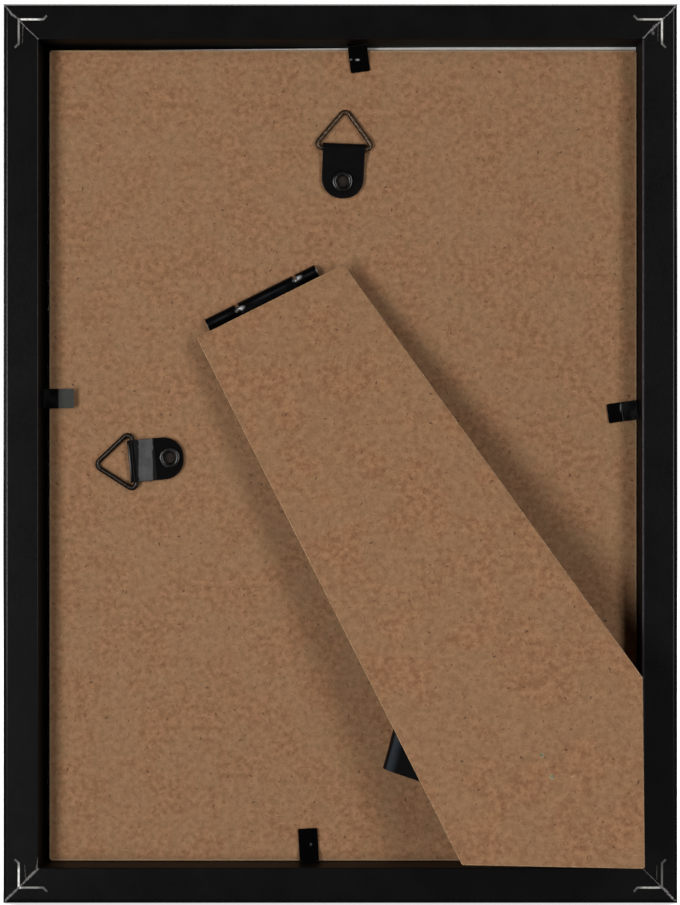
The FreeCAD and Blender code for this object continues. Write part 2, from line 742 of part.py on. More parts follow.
def make_leaf(label, place, hand):
    """A hinge leaf: flat plate, small step, and a knuckle rolled round the pin.

    The board's leaf lies below the pin (hand -1) and keeps the outer knuckles; the strut's leaf
    lies above it (hand 1) and keeps the middle one.
    """
    leaf = new_piece(label, place)
    path = new_sketch(leaf, "YZ_Plane")
    draw(path, [
        ("-leaf_reach", f"{hand} * {LEAF_MIDDLE}"),
        (f"-({ROLL_HALF} + leaf_step_far)", f"{hand} * {LEAF_MIDDLE}", "leaf_step_bend"),
        (f"-({ROLL_HALF} + leaf_step_near)", f"{hand} * {ROLL_HALF}", "leaf_step_bend"),
        (ROLL_HALF, f"{hand} * {ROLL_HALF}", f"{ROLL_HALF} - knuckle_flat"),
        (ROLL_HALF, f"-{hand} * {ROLL_HALF}", f"{ROLL_HALF} - knuckle_flat"),
        (f"-{ROLL_HALF}", f"-{hand} * {ROLL_HALF}", f"{ROLL_HALF} - knuckle_flat"),
        (f"-{ROLL_HALF}", f"{hand} * ({ROLL_HALF} - leaf_gauge / 2 - knuckle_mouth)"),
    ], closed=False)
    section = new_sketch(leaf, "XZ_Plane", out="leaf_reach")
    draw_box(section, "-hinge_length / 2", f"{hand} * {LEAF_MIDDLE} - leaf_gauge / 2",
             "hinge_length / 2", f"{hand} * {LEAF_MIDDLE} + leaf_gauge / 2")
    sweep(leaf, section, path)

    gaps = new_sketch(leaf)
    inner = f"-({ROLL_HALF} + leaf_gauge / 2 + knuckle_relief)"
    outer = f"{ROLL_HALF} + leaf_gauge / 2 + overrun"
    if hand == "-1":
        draw_box(gaps, KNUCKLE_FROM, inner, KNUCKLE_TO, outer)
    else:
        draw_box(gaps, "-hinge_length / 2 - overrun", inner, f"{KNUCKLE_FROM} + knuckle_gap", outer)
        draw_box(gaps, f"{KNUCKLE_TO} - knuckle_gap", inner, "hinge_length / 2 + overrun", outer)
    cut(leaf, gaps, both_ways=True)

    for row in ("0", "1"):
        prongs = new_sketch(leaf, "XZ_Plane", out=f"prong_near + {row} * prong_pitch")
        tip = f"{hand} * ({LEAF_MIDDLE} + leaf_gauge / 2 + prong_length)"
        for side_hand in ("1", "-1"):
            across = f"{side_hand} * prong_place"
            draw(prongs, [
                (f"{across} - prong_width / 2", f"{hand} * {LEAF_MIDDLE}"),
                (f"{across} + prong_width / 2", f"{hand} * {LEAF_MIDDLE}"),
                (f"{across} + prong_tip / 2", tip),
                (f"{across} - prong_tip / 2", tip),
            ])
        pad(leaf, prongs, "leaf_gauge", both_ways=True)


def make_pin():
    """The hinge pin, a little proud of both ends."""
    pin = new_piece("hinge_pin", HINGE_PLACE)
    profile = new_sketch(pin)
    end = "(hinge_length / 2 + pin_proud)"
    draw(profile, [
        (f"-{end}", "0"),
        (end, "0"),
        (end, "pin_gauge / 2 - pin_bevel"),
        (f"{end} - pin_bevel", "pin_gauge / 2"),
        (f"pin_bevel - {end}", "pin_gauge / 2"),
        (f"-{end}", "pin_gauge / 2 - pin_bevel"),
    ])
    feature = pin.newObject("PartDesign::Revolution", "hinge_pin_turning")
    feature.Profile = profile
    feature.ReferenceAxis = (profile, ["H_Axis"])
    feature.Angle = 360


make_leaf("hinge_board_leaf", HINGE_PLACE, "-1")
make_leaf("hinge_strut_leaf", STRUT_PLACE, "1")
make_pin()


# Strut

def from_hinge(across, up):
    """A point of the frame, in the hinge's own x and y."""
    right = f"({across} - {HINGE_ACROSS})"
    above = f"({up} - {HINGE_UP})"
    return (f"({right} * cos(hinge_turn) + {above} * sin(hinge_turn))",
            f"({above} * cos(hinge_turn) - {right} * sin(hinge_turn))")


# The strut's staple, counted along the hinge and across it from the corner of the foot.
CORNER_X, CORNER_Y = from_hinge(FOOT_ACROSS, FOOT_UP)
STAY_X = f"({CORNER_X} - stay_from_foot_side)"
STAY_Y = f"({CORNER_Y} + stay_from_foot)"


def make_strut():
    """The easel leg. Folded flat, its square foot lies in the corner of the rebate."""
    strut = new_piece("strut", STRUT_PLACE)
    outline = new_sketch(strut, out="hinge_lift")
    corners = [
        ("-strut_top_left", "-strut_top_gap"),
        from_hinge(f"{FOOT_ACROSS} - strut_foot_base", f"{FOOT_UP} + strut_foot_rise"),
        (CORNER_X, CORNER_Y),
        from_hinge(FOOT_ACROSS, f"{FOOT_UP} + strut_foot_side"),
        ("strut_top_right", "-strut_top_gap"),
    ]
    draw(outline, [(x, y, "strut_round") for x, y in corners])
    pad(strut, outline, "strut_gauge")
    soften(strut, "Chamfer", "strut_arris", lambda edge: lies_at(edge, "hinge_lift + strut_gauge"))

    prong_slots = new_sketch(strut, out="hinge_lift")
    draw_prong_slots(prong_slots)
    cut(strut, prong_slots, "prong_length + prong_play", along_normal=True)

    leg_slots = new_sketch(strut, out="hinge_lift", across=STAY_X, up=STAY_Y)
    draw_leg_slots(leg_slots, along_x=False)
    cut(strut, leg_slots, along_normal=True)


make_strut()


# Stay ribbon and its staples. The ribbon's own x runs from its fold towards its two ends.

RIBBON_PLACE = seen_from_back(RIBBON_ACROSS, RIBBON_UP, BOARD_BACK, "ribbon_turn")
STAY_STAPLE_PLACE = STRUT_PLACE * shifted(STAY_X, STAY_Y, "hinge_lift", "90")
ROOT_STAPLE_PLACE = RIBBON_PLACE * shifted("ribbon_root_run", turn="90", tilt="180")
RIBBON_SPACE = "(ribbon_gauge + 2 * ribbon_gap)"


def ribbon_stations():
    """Middle, outward run and inner face direction of the ribbon's cross-sections, root end first."""
    level = size("ribbon_gap + ribbon_gauge / 2")
    loop = size("ribbon_loop")
    middle = Vector(loop, 0, level + loop)
    across = Vector(0, 1, 0)

    # The strut's underside, as it lies over the ribbon.
    to_ribbon = RIBBON_PLACE.inverse() * STRUT_PLACE
    under = to_ribbon * Vector(0, 0, size("hinge_lift"))
    normal = to_ribbon.Rotation.multVec(Vector(0, 0, 1))

    def below_strut(run):
        """The ribbon's middle where it lies against the strut."""
        rise = (normal.x * (under.x - run) + normal.y * under.y) / normal.z
        return Vector(run, 0, under.z + rise) - normal * level

    near = below_strut(size("ribbon_stay_run - ribbon_tail"))
    far = below_strut(size("ribbon_stay_run + ribbon_tail"))
    span = near - middle
    slope = math.atan2(span.z, span.x) - math.asin(loop / span.Length)

    stations = [
        (Vector(size("ribbon_root_run + ribbon_tail"), 0, level), Vector(-1, 0, 0), across),
        (Vector(loop, 0, level), Vector(-1, 0, 0), across),
    ]
    turn_steps = 5
    for step in range(1, turn_steps + 1):
        angle = -math.pi / 2 - (math.pi - slope) * step / turn_steps
        spot = middle + Vector(math.cos(angle), 0, math.sin(angle)) * loop
        stations.append((spot, Vector(math.sin(angle), 0, -math.cos(angle)), across))
    leaving = stations[-1][0]
    along_strut = (far - near).normalize()
    twisted = along_strut.cross(-normal)
    rising = (near - leaving).normalize()
    stations.append(((leaving + near) / 2, rising, (across + twisted).normalize()))
    stations.append((near, (rising + along_strut).normalize(), twisted))
    stations.append((far, along_strut, twisted))
    return stations


def make_ribbon():
    """The folded stay: flat on the board, round its loop and up to the strut, slit for the staples."""
    ribbon = new_piece("stay_ribbon", RIBBON_PLACE)
    sections = []
    for spot, run, across in ribbon_stations():
        inner = across.cross(run).normalize()
        across = run.cross(inner)
        section = new_sketch(ribbon)
        section.AttachmentOffset = FreeCAD.Placement(spot, FreeCAD.Rotation(across, inner, -run, "XYZ"))
        draw_box(section, "-ribbon_width / 2", "-ribbon_gauge / 2", "ribbon_width / 2", "ribbon_gauge / 2")
        sections.append(section)
    loft = ribbon.newObject("PartDesign::AdditiveLoft", "stay_ribbon_loft")
    loft.Profile = sections[0]
    loft.Sections = sections[1:]
    loft.Ruled = True

    for staple_place in (STAY_STAPLE_PLACE, ROOT_STAPLE_PLACE):
        slits = new_sketch(ribbon)
        slits.AttachmentOffset = RIBBON_PLACE.inverse() * staple_place
        draw_leg_slots(slits, along_x=True)
        cut(ribbon, slits, "staple_bite", both_ways=True)


def make_staple(label, place, bite):
    """A wire staple over the ribbon: crown along x, legs along z past the ribbon into the board."""
    staple = new_piece(label, place)
    outline = new_sketch(staple, "XZ_Plane")
    half = "(staple_crown / 2)"
    crown_back = f"-({RIBBON_SPACE} + staple_gauge)"
    draw(outline, [
        (f"-{half}", crown_back),
        (half, crown_back),
        (half, bite),
        (f"{half} - staple_gauge", bite),
        (f"{half} - staple_gauge", f"-{RIBBON_SPACE}"),
        (f"staple_gauge - {half}", f"-{RIBBON_SPACE}"),
        (f"staple_gauge - {half}", bite),
        (f"-{half}", bite),
    ])
    pad(staple, outline, "staple_gauge", both_ways=True)


make_ribbon()
make_staple("strut_staple", STAY_STAPLE_PLACE, "strut_gauge")
make_staple("board_staple", ROOT_STAPLE_PLACE, "staple_bite")


# Check every object, then write each piece

doc.recompute()
for thing in doc.Objects:
    if "Invalid" in thing.State or "Error" in thing.State:
        raise RuntimeError(f"{thing.Label} didn't compute: {thing.State}")
os.makedirs("parts", exist_ok=True)
for piece in PIECES:
    shape = piece.Shape
    if shape.isNull() or not shape.isValid() or len(shape.Solids) != 1:
        raise RuntimeError(f"{piece.Label} isn't one valid solid")
    print(f"{piece.Label}: {shape.Volume:.1f} mm3")
for piece in PIECES:
    piece.Shape.exportStep(f"parts/{piece.Label}.step")
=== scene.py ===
"""Easel back photo frame, 13 x 18 cm: pieces, finishes and studio, laid out as a Blender add-on.

Left and right are as seen from the frame's back, which faces the camera. Named sizes and places are in
millimetres and degrees, except in the settings, the lamps and the camera, which are in Blender's metres.
"""

import math

import bmesh
import bpy
from bpy.props import FloatProperty, FloatVectorProperty, PointerProperty
from bpy.types import NodeSocket, Operator, Panel, PropertyGroup
from mathutils import Matrix, Vector


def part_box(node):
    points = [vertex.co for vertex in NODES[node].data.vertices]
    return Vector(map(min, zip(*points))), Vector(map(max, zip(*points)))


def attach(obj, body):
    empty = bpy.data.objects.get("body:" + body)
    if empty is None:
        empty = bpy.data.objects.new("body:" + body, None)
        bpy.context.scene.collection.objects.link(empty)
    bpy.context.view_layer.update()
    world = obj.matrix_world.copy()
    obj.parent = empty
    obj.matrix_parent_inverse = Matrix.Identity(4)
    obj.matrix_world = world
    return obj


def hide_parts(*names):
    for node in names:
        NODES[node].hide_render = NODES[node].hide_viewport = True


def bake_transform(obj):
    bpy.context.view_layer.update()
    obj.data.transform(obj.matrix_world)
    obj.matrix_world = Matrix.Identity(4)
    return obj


bl_info = {
    "name": "Easel back photo frame",
    "version": (1, 0, 0),
    "blender": (4, 5, 0),
    "location": "3D View > Sidebar > Photo frame",
    "description": "Dresses an easel back photo frame and sets it in a studio",
    "category": "Object",
}

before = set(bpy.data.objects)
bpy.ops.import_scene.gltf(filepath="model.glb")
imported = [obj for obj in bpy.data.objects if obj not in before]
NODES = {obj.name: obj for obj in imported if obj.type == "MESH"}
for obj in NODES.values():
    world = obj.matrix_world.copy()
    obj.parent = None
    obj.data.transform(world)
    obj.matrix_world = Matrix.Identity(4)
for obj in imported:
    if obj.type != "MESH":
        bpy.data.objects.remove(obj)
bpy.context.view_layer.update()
MM = 0.001

# The moulding and the board, measured on the frame.
RAIL_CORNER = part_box("rail_left")[1]
HALF_WIDTH = RAIL_CORNER.x / MM
HALF_HEIGHT = RAIL_CORNER.z / MM / 2
BACK = RAIL_CORNER.y / MM
BOARD_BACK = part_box("backboard")[1].y / MM

# The moulding's flat back, its two round arrises, and how far in the corner nails stand.
RAIL_WIDE = 7.8
OUTER_ROUND = 1.0
INNER_ROUND = 0.35
NAIL_INSET = 3.45
CORNERS = {"top_left": (-1, 1), "top_right": (1, 1), "bottom_left": (-1, -1), "bottom_right": (1, -1)}


# Places

# Takes millimetres seen from the back, x right, y up from the middle and z out, to the row frame.
FROM_BACK = Matrix.Translation((0, 0, HALF_HEIGHT * MM)) @ Matrix((
    (-MM, 0, 0, 0), (0, 0, MM, 0), (0, MM, 0, 0), (0, 0, 0, 1)))

# The hinge's own axes: x along the pin, y away from the strut's foot, z out. The strut opens about x.
# The pin lies as far off the board as off the strut's inner face.
HINGE_ACROSS = -17.3
HINGE_UP = 34.4
HINGE_SLANT = 26.5
PIN_LIFT = 1.6
OPENING = math.radians(9.5)
HINGE = (FROM_BACK @ Matrix.Translation((HINGE_ACROSS, HINGE_UP, BOARD_BACK + PIN_LIFT))
         @ Matrix.Rotation(math.radians(HINGE_SLANT), 4, "Z"))
STRUT = HINGE @ Matrix.Rotation(-OPENING, 4, "X")

# The ribbon's own axes: x from its fold towards its ends, y across it, z out from the board.
FOLD_ACROSS = 11.33
FOLD_UP = -61.92
RIBBON_TURN = -15.5
RIBBON = (FROM_BACK @ Matrix.Translation((FOLD_ACROSS, FOLD_UP, BOARD_BACK))
          @ Matrix.Rotation(math.radians(RIBBON_TURN), 4, "Z"))

# How far the fold lies from the pin, square to it, and how much each step along the ribbon leads further
# from the pin, and each step across it nearer.
FOLD_FROM_PIN = 98.98
RUN_FROM_PIN = 0.669
SIDE_TO_PIN = 0.744

# Places along the ribbon: its end on the board, where it meets the strut, and its end on the strut.
BOARD_END = 28.0
STRUT_MEETS = 29.0
STRUT_END = 37.0
# The ribbon's middle lies this far off the board, and off the strut.
RIBBON_LEVEL = 0.255
# How far it sags between its fold and the strut, and into how many steps it is cut.
SLACK = 0.5
RIBBON_STEPS = 150


def from_back(across, up, out):
    """A place given in millimetres seen from the back, in the row frame."""
    return FROM_BACK @ Vector((across, up, out))


# Colours and node trees

# What every node of a kind has set here. Map Range nodes ease from one end to the other.
USUAL = {
    "MapRange": {"interpolation_type": "SMOOTHSTEP"}, "Mix": {"data_type": "RGBA"}, "Bevel": {"samples": 6}}


def linear(code):
    """An sRGB hex colour as the linear colour that nodes take."""
    parts = [int(code[at:at + 2], 16) / 255 for at in (1, 3, 5)]
    return [part / 12.92 if part <= 0.04045 else ((part + 0.055) / 1.055) ** 2.4 for part in parts] + [1.0]


def per(spacing):
    """The texture scale that repeats a pattern every so many millimetres."""
    return 1 / (spacing * MM)


def add(tree, kind, inputs=(), out=0, stops=(), **settings):
    """Adds a node with its settings, links and colour stops, and gives back one of its outputs.

    kind is its class after ShaderNode. inputs are values, sRGB hex colours or links, in the order of the
    node's sockets or named. stops are (place, sRGB hex colour).
    """
    node = tree.nodes.new(f"ShaderNode{kind}")
    for name, value in {**USUAL.get(kind, {}), **settings}.items():
        setattr(node, name, value)
    for socket, value in (inputs if isinstance(inputs, dict) else dict(enumerate(inputs))).items():
        if isinstance(value, NodeSocket):
            tree.links.new(value, node.inputs[socket])
        else:
            node.inputs[socket].default_value = linear(value) if isinstance(value, str) else value
    if stops:
        bands = node.color_ramp.elements
        while len(bands) < len(stops):
            bands.new(0.5)
        for band, (place, code) in zip(bands, stops):
            band.position = place
            band.color = linear(code)
    return node.outputs[out] if node.outputs else None


def new_material(name):
    """An empty material, with its node tree and the object's own coordinates."""
    material = bpy.data.materials.new(name)
    material.use_nodes = True
    tree = material.node_tree
    tree.nodes.clear()
    return material, tree, add(tree, "TexCoord").node.outputs


def all_of(tree, *masks):
    """Where every one of the masks holds."""
    whole = masks[0]
    for mask in masks[1:]:
        whole = add(tree, "Math", (whole, mask), operation="MULTIPLY")
    return whole


def coats(tree, colour, *layers):
    """A colour with others laid over it, each a (mask, colour) pair."""
    for mask, over in layers:
        colour = add(tree, "Mix", {0: mask, 6: colour, 7: over}, out=2)
    return colour


def patch(tree, place, across, up, long, wide, turn):
    """A soft-edged oval on the back, in mm seen from the back, its long way turned from level."""
    off = add(tree, "VectorMath", (place, from_back(across, up, 0)), operation="SUBTRACT")
    level = add(tree, "VectorRotate", {"Vector": off, "Angle": -math.radians(turn)}, rotation_type="Y_AXIS")
    sized = add(tree, "VectorMath", (level, (2 / (long * MM), 0, 2 / (wide * MM))), operation="MULTIPLY")
    far = add(tree, "VectorMath", (sized,), out="Value", operation="LENGTH")
    return add(tree, "MapRange", (far, 0.2, 1.0, 1, 0))


def paint(tree, colour, place, marks):
    """A colour with marks laid over it: (across, up, long, wide, turn, sRGB colour, share)."""
    for *oval, code, share in marks:
        colour = coats(tree, colour, (all_of(tree, patch(tree, place, *oval), share), code))
    return colour


# Finishes

def paper_foil(dark, light):
    """Black printed paper foil, glued round the moulding: a low gloss on its flat back, with specks of dust.

    In the rebate it is rolled over the raw edge and stays matt. The right rail's inner arris carries a
    painted highlight.
    """
    material, tree, place = new_material("paper_foil_wrap")
    spot = place["Object"]
    # The print is a little uneven, and the paper's pores make the gloss so.
    cloud, pores = (
        add(tree, "TexNoise", {"Vector": spot, "Scale": per(spacing), "Detail": detail, "Roughness": 0.55})
        for spacing, detail in ((9, 4), (0.35, 2)))
    colour = add(tree, "ValToRGB", (cloud,), stops=((0.35, dark), (0.65, light)))

    # Rare specks of dust, up to 0.4 mm across, where one of some scattered points lies on the foil.
    cells = add(tree, "TexVoronoi", {"Vector": spot, "Scale": per(8)}).node.outputs
    near = add(tree, "MapRange", (cells["Distance"], 0.012, 0.028, 1, 0))
    chance = add(tree, "SeparateColor", (cells["Color"],))
    rare = add(tree, "MapRange", (chance, 0.74, 0.78, 0, 1))
    colour = coats(tree, colour, (all_of(tree, near, rare), "#6f6d6a"))

    # How far a place lies from the rebate: aside on the upright rails, above on the level ones.
    facing = add(tree, "SeparateXYZ", (place["Normal"],), out=1)
    across, height = (add(tree, "SeparateXYZ", (spot,), out=axis) for axis in (0, 2))
    rise = add(tree, "Math", (height, HALF_HEIGHT * MM), operation="SUBTRACT")
    aside, above = (
        add(tree, "Math", (add(tree, "Math", (value,), operation="ABSOLUTE"), (half - RAIL_WIDE) * MM),
            operation="SUBTRACT")
        for value, half in ((across, HALF_WIDTH), (rise, HALF_HEIGHT)))

    # A painted highlight: the first half millimetre of the right rail's back, at its inner arris, is painted
    # grey.
    painted_highlight = all_of(tree, *(
        add(tree, "MapRange", values) for values in (
            (aside, 0, 0.08 * MM, 0, 1), (aside, 0.35 * MM, 0.6 * MM, 1, 0), (above, -0.2 * MM, 0, 1, 0),
            (facing, 0.2, 0.7, 0, 1), (across, -1 * MM, 0, 1, 0), (pores, 0.3, 0.7, 0.6, 1))))
    colour = coats(tree, colour, (painted_highlight, "#3b383b"))

    nearest = add(tree, "Math", (aside, above), operation="MAXIMUM")
    inside = add(tree, "MapRange", (nearest, 0.1 * MM, 0.25 * MM, 1, 0))
    level = add(tree, "Math", (facing,), operation="ABSOLUTE")
    wall = all_of(tree, inside, add(tree, "MapRange", (level, 0.2, 0.7, 1, 0)))
    # The bottom rail's wall, where boards are set down, is polished a little.
    faint = add(tree, "MapRange", (
        height, (RAIL_WIDE + 0.6) * MM, (RAIL_WIDE + 1.2) * MM, 0.07, 0.02))
    gloss = add(tree, "MapRange", (pores, 0.3, 0.7, 0.14, 0.19))
    foil = add(tree, "BsdfPrincipled", {
        "Base Color": colour, "Roughness": add(tree, "MapRange", (wall, 0, 1, gloss, 0.5)),
        "Specular IOR Level": add(tree, "MapRange", (wall, 0, 1, 0.17, faint)),
        "Normal": add(tree, "Bump", {"Height": pores, "Distance": 0.003 * MM})})
    add(tree, "OutputMaterial", (foil,))
    return material


def strokes_all_ways(tree, place, spacing, length, width, share, shift):
    """Short strokes in all directions: one in each cell of the spacing, kept for a share of the cells."""
    shifted = add(tree, "VectorMath", (place, (shift, shift, 0)), operation="ADD")
    cells = add(tree, "TexVoronoi", {
        "Vector": shifted, "Scale": per(spacing)}, voronoi_dimensions="2D").node.outputs
    chance = add(tree, "SeparateColor", (cells["Color"],)).node.outputs
    local = add(tree, "VectorMath", (shifted, cells["Position"]), operation="SUBTRACT")
    angle = add(tree, "Math", (chance[0], math.tau), operation="MULTIPLY")
    turned = add(tree, "VectorRotate", {"Vector": local, "Angle": angle}, rotation_type="Z_AXIS")
    sized = add(tree, "VectorMath", (turned, (2 / (length * MM), 2 / (width * MM), 0)), operation="MULTIPLY")
    far = add(tree, "VectorMath", (sized,), out="Value", operation="LENGTH")
    body = add(tree, "MapRange", (far, 0.35, 1.0, 1, 0))
    kept = add(tree, "MapRange", (chance[1], 1 - share, 1.01 - share, 0, 1))
    deep = add(tree, "MapRange", (chance[2], 0, 1, 0.45, 1))
    return all_of(tree, body, kept, deep)


def hardboard(name, dark, light, cut, face, marks=(), rim=None):
    """Pressed brown wood fibre: mottled, with dark bark flecks, pale fibres and a paler sawn edge.

    face is the way that the pressed side looks, in the piece's own axes. rim is a node whose outline the
    saw has frayed pale.
    """
    material, tree, place = new_material(name)
    spot = add(tree, "Mapping", {"Vector": place["Object"], "Rotation": (math.radians(90), 0, 0)})
    # Fibres lie every way in the sheet, so strokes wander a little off straight.
    sway = add(tree, "TexNoise", {"Vector": spot, "Scale": per(1.1), "Detail": 1.0}, out="Color")
    sway = add(tree, "VectorMath", (sway, (0.5, 0.5, 0.5)), operation="SUBTRACT")
    sway = add(tree, "VectorMath", {0: sway, "Scale": 0.35 * MM}, operation="SCALE")
    wavy = add(tree, "VectorMath", (spot, sway), operation="ADD")

    clouds, mottle, grain, blots = (
        add(tree, "TexNoise", {"Vector": where, "Scale": per(spacing), "Detail": detail, "Roughness": rough})
        for where, spacing, detail, rough in (
            (spot, 9, 3, 0.55), (spot, 1.3, 3, 0.6), (spot, 0.3, 2, 0.6), (wavy, 0.6, 2, 0.5)))
    colour = add(tree, "ValToRGB", (mottle,), stops=((0.36, dark), (0.64, light)))
    for pattern, low, high, start, end, code in (
            (clouds, 0.4, 0.6, 0, 0.4, "#8d7150"), (grain, 0.3, 0.5, 0.35, 0, "#6b4a33"),
            (grain, 0.55, 0.75, 0, 0.3, "#ab8463"), (blots, 0.62, 0.74, 0, 0.5, "#6d452c")):
        mask = add(tree, "MapRange", (pattern, low, high, start, end))
        colour = coats(tree, colour, (mask, code))
    # Fibre bundles, bark flecks, knots of bark, and pale fibres.
    for spacing, length, width, share, code, deep, shift in (
            (1.5, 0.8, 0.26, 0.6, "#6d4830", 0.6, 0.013),
            (2.6, 1.0, 0.34, 0.5, "#5a3822", 0.75, 0.171),
            (6.5, 1.1, 0.5, 0.45, "#43291a", 0.85, 0.377),
            (3.4, 1.7, 0.18, 0.4, "#b8926e", 0.6, 0.611)):
        mask = strokes_all_ways(tree, wavy, spacing, length, width, share, shift)
        colour = coats(tree, colour, (all_of(tree, mask, deep), code))
    if marks:
        ragged = add(tree, "VectorMath", (place["Object"], sway), operation="ADD")
        colour = paint(tree, colour, ragged, marks)
    if rim:
        low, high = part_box(rim)
        near = []
        for axis in (0, 2):
            along = add(tree, "SeparateXYZ", (place["Object"],), out=axis)
            off = add(tree, "Math", (along, (low[axis] + high[axis]) / 2), operation="SUBTRACT")
            off = add(tree, "Math", (off,), operation="ABSOLUTE")
            half = (high[axis] - low[axis]) / 2
            near.append(add(tree, "MapRange", (off, half - 0.6 * MM, half - 0.2 * MM, 0, 1)))
        edge = add(tree, "Math", near, operation="MAXIMUM")
        frayed = all_of(tree, edge, add(tree, "MapRange", (blots, 0.3, 0.6, 0.3, 0.7)))
        colour = coats(tree, colour, (frayed, "#a8967b"))

    # A saw leaves the edge lighter than the pressed face, with a finer speckle.
    facing = add(tree, "VectorMath", (place["Normal"], face), out="Value", operation="DOT_PRODUCT")
    sawn = add(tree, "MapRange", (facing, 0.75, 0.97, 1, 0))
    colour = coats(tree, colour, (sawn, add(tree, "ValToRGB", (grain,), stops=((0.3, dark), (0.7, cut)))))
    relief = add(tree, "Bump", {
        "Height": add(tree, "Math", (grain, mottle), operation="ADD"), "Distance": 0.05 * MM,
        "Normal": add(tree, "Bevel", {"Radius": 0.15 * MM})})
    board = add(tree, "BsdfPrincipled", {
        "Base Color": colour, "Roughness": add(tree, "MapRange", (grain, 0.3, 0.7, 0.62, 0.8)),
        "Specular IOR Level": 0.25, "Normal": relief})
    add(tree, "OutputMaterial", (board,))
    return material


def raw_core(name, dark, light):
    """The moulding's bare fibre core, where the foil has chipped off: pale, dusty and matt."""
    material, tree, place = new_material(name)
    dusting = add(tree, "TexNoise", {
        "Vector": place["Object"], "Scale": per(0.5), "Detail": 4, "Roughness": 0.7})
    core = add(tree, "BsdfPrincipled", {
        "Base Color": add(tree, "ValToRGB", (dusting,), stops=((0.36, dark), (0.64, light))),
        "Roughness": 0.85, "Specular IOR Level": 0.2,
        "Normal": add(tree, "Bump", {"Height": dusting, "Distance": 0.03 * MM})})
    add(tree, "OutputMaterial", (core,))
    return material


def lacquered_steel(name, code="#050506", rough=0.12, shine=0.22, ease=0.12, peel=0.003, painted_reflection_reach=None,
                    dull=None, marks=()):
    """Steel strip stamped, then dipped in black lacquer: glossy, with round arrises and fine orange peel.

    painted_reflection_reach is how far to the left, in mm, the lacquer is painted grey, a painted
    reflection.
    Outside the two places of dull, also to the left, it stays dull. marks are painted highlights.
    """
    material, tree, place = new_material(name)
    spot = place["Object"]
    skin, film, rub = (
        add(tree, "TexNoise", {"Vector": spot, "Scale": per(spacing), "Detail": detail, "Roughness": uneven})
        for spacing, detail, uneven in ((0.9, 2, 0.55), (2.6, 3, 0.55), (0.25, 3, 0.7)))
    scuffs = add(tree, "MapRange", (rub, 0.68, 0.8, 0, 0.4))
    colour = coats(tree, code, (scuffs, "#1b1a1a"))
    # A painted reflection: to the left of the given reach the lacquer is painted grey.
    if painted_reflection_reach is not None:
        across = add(tree, "SeparateXYZ", (spot,))
        painted_light = add(tree, "MapRange", (across, (painted_reflection_reach - 0.2) * MM, (painted_reflection_reach + 0.2) * MM, 1, 0))
        steel = add(tree, "ValToRGB", (rub,), stops=((0.3, "#3f3f3c"), (0.7, "#4b4b48")))
        colour = coats(tree, colour, (painted_light, steel))
    # The marks are painted highlights laid over the colour.
    colour = paint(tree, colour, spot, marks)
    if dull is not None:
        sway = add(tree, "Math", (film, 0.5), operation="SUBTRACT")
        sway = add(tree, "Math", (sway, 1.2 * MM), operation="MULTIPLY")
        across = add(tree, "Math", (add(tree, "SeparateXYZ", (spot,)), sway), operation="ADD")
        bright = [
            add(tree, "MapRange", (across, (at - 0.15) * MM, (at + 0.15) * MM, *ends))
            for at, ends in zip(dull, ((0, 1), (1, 0)))]
        shine = add(tree, "MapRange", (all_of(tree, *bright), 0, 1, 0.015, shine))
    relief = add(tree, "Bump", {
        "Height": skin, "Distance": peel * MM,
        "Normal": add(tree, "Bevel", {"Radius": ease * MM})})
    lacquer = add(tree, "BsdfPrincipled", {
        "Base Color": colour,
        "Roughness": add(tree, "MapRange", (film, 0.3, 0.7, rough, rough + 0.08)),
        "Specular IOR Level": shine, "Normal": relief})
    add(tree, "OutputMaterial", (lacquer,))
    return material


def drawn_wire(name, dark, middle, light):
    """Drawn steel wire with a burnt bronze-black finish, scuffed lighter in places."""
    material, tree, place = new_material(name)
    rub = add(tree, "TexNoise", {
        "Vector": place["Object"], "Scale": per(0.5), "Detail": 4, "Roughness": 0.65})
    wire = add(tree, "BsdfPrincipled", {
        "Base Color": add(tree, "ValToRGB", (rub,), stops=((0.38, dark), (0.62, middle), (0.78, light))),
        "Metallic": 0.6, "Roughness": add(tree, "MapRange", (rub, 0.3, 0.7, 0.24, 0.4)),
        "Normal": add(tree, "Bump", {"Height": rub, "Distance": 0.02 * MM})})
    add(tree, "OutputMaterial", (wire,))
    return material


def bare_metal(name, dark, light, rough, metallic):
    """Unpainted metal: grey, with fine wear."""
    material, tree, place = new_material(name)
    wear = add(tree, "TexNoise", {
        "Vector": place["Object"], "Scale": per(0.35), "Detail": 3, "Roughness": 0.6})
    metal = add(tree, "BsdfPrincipled", {
        "Base Color": add(tree, "ValToRGB", (wear,), stops=((0.35, dark), (0.65, light))),
        "Metallic": metallic,
        "Roughness": add(tree, "MapRange", (wear, 0.3, 0.7, rough, rough + 0.15)),
        "Normal": add(tree, "Bump", {
            "Height": wear, "Distance": 0.01 * MM,
            "Normal": add(tree, "Bevel", {"Radius": 0.06 * MM})})})
    add(tree, "OutputMaterial", (metal,))
    return material


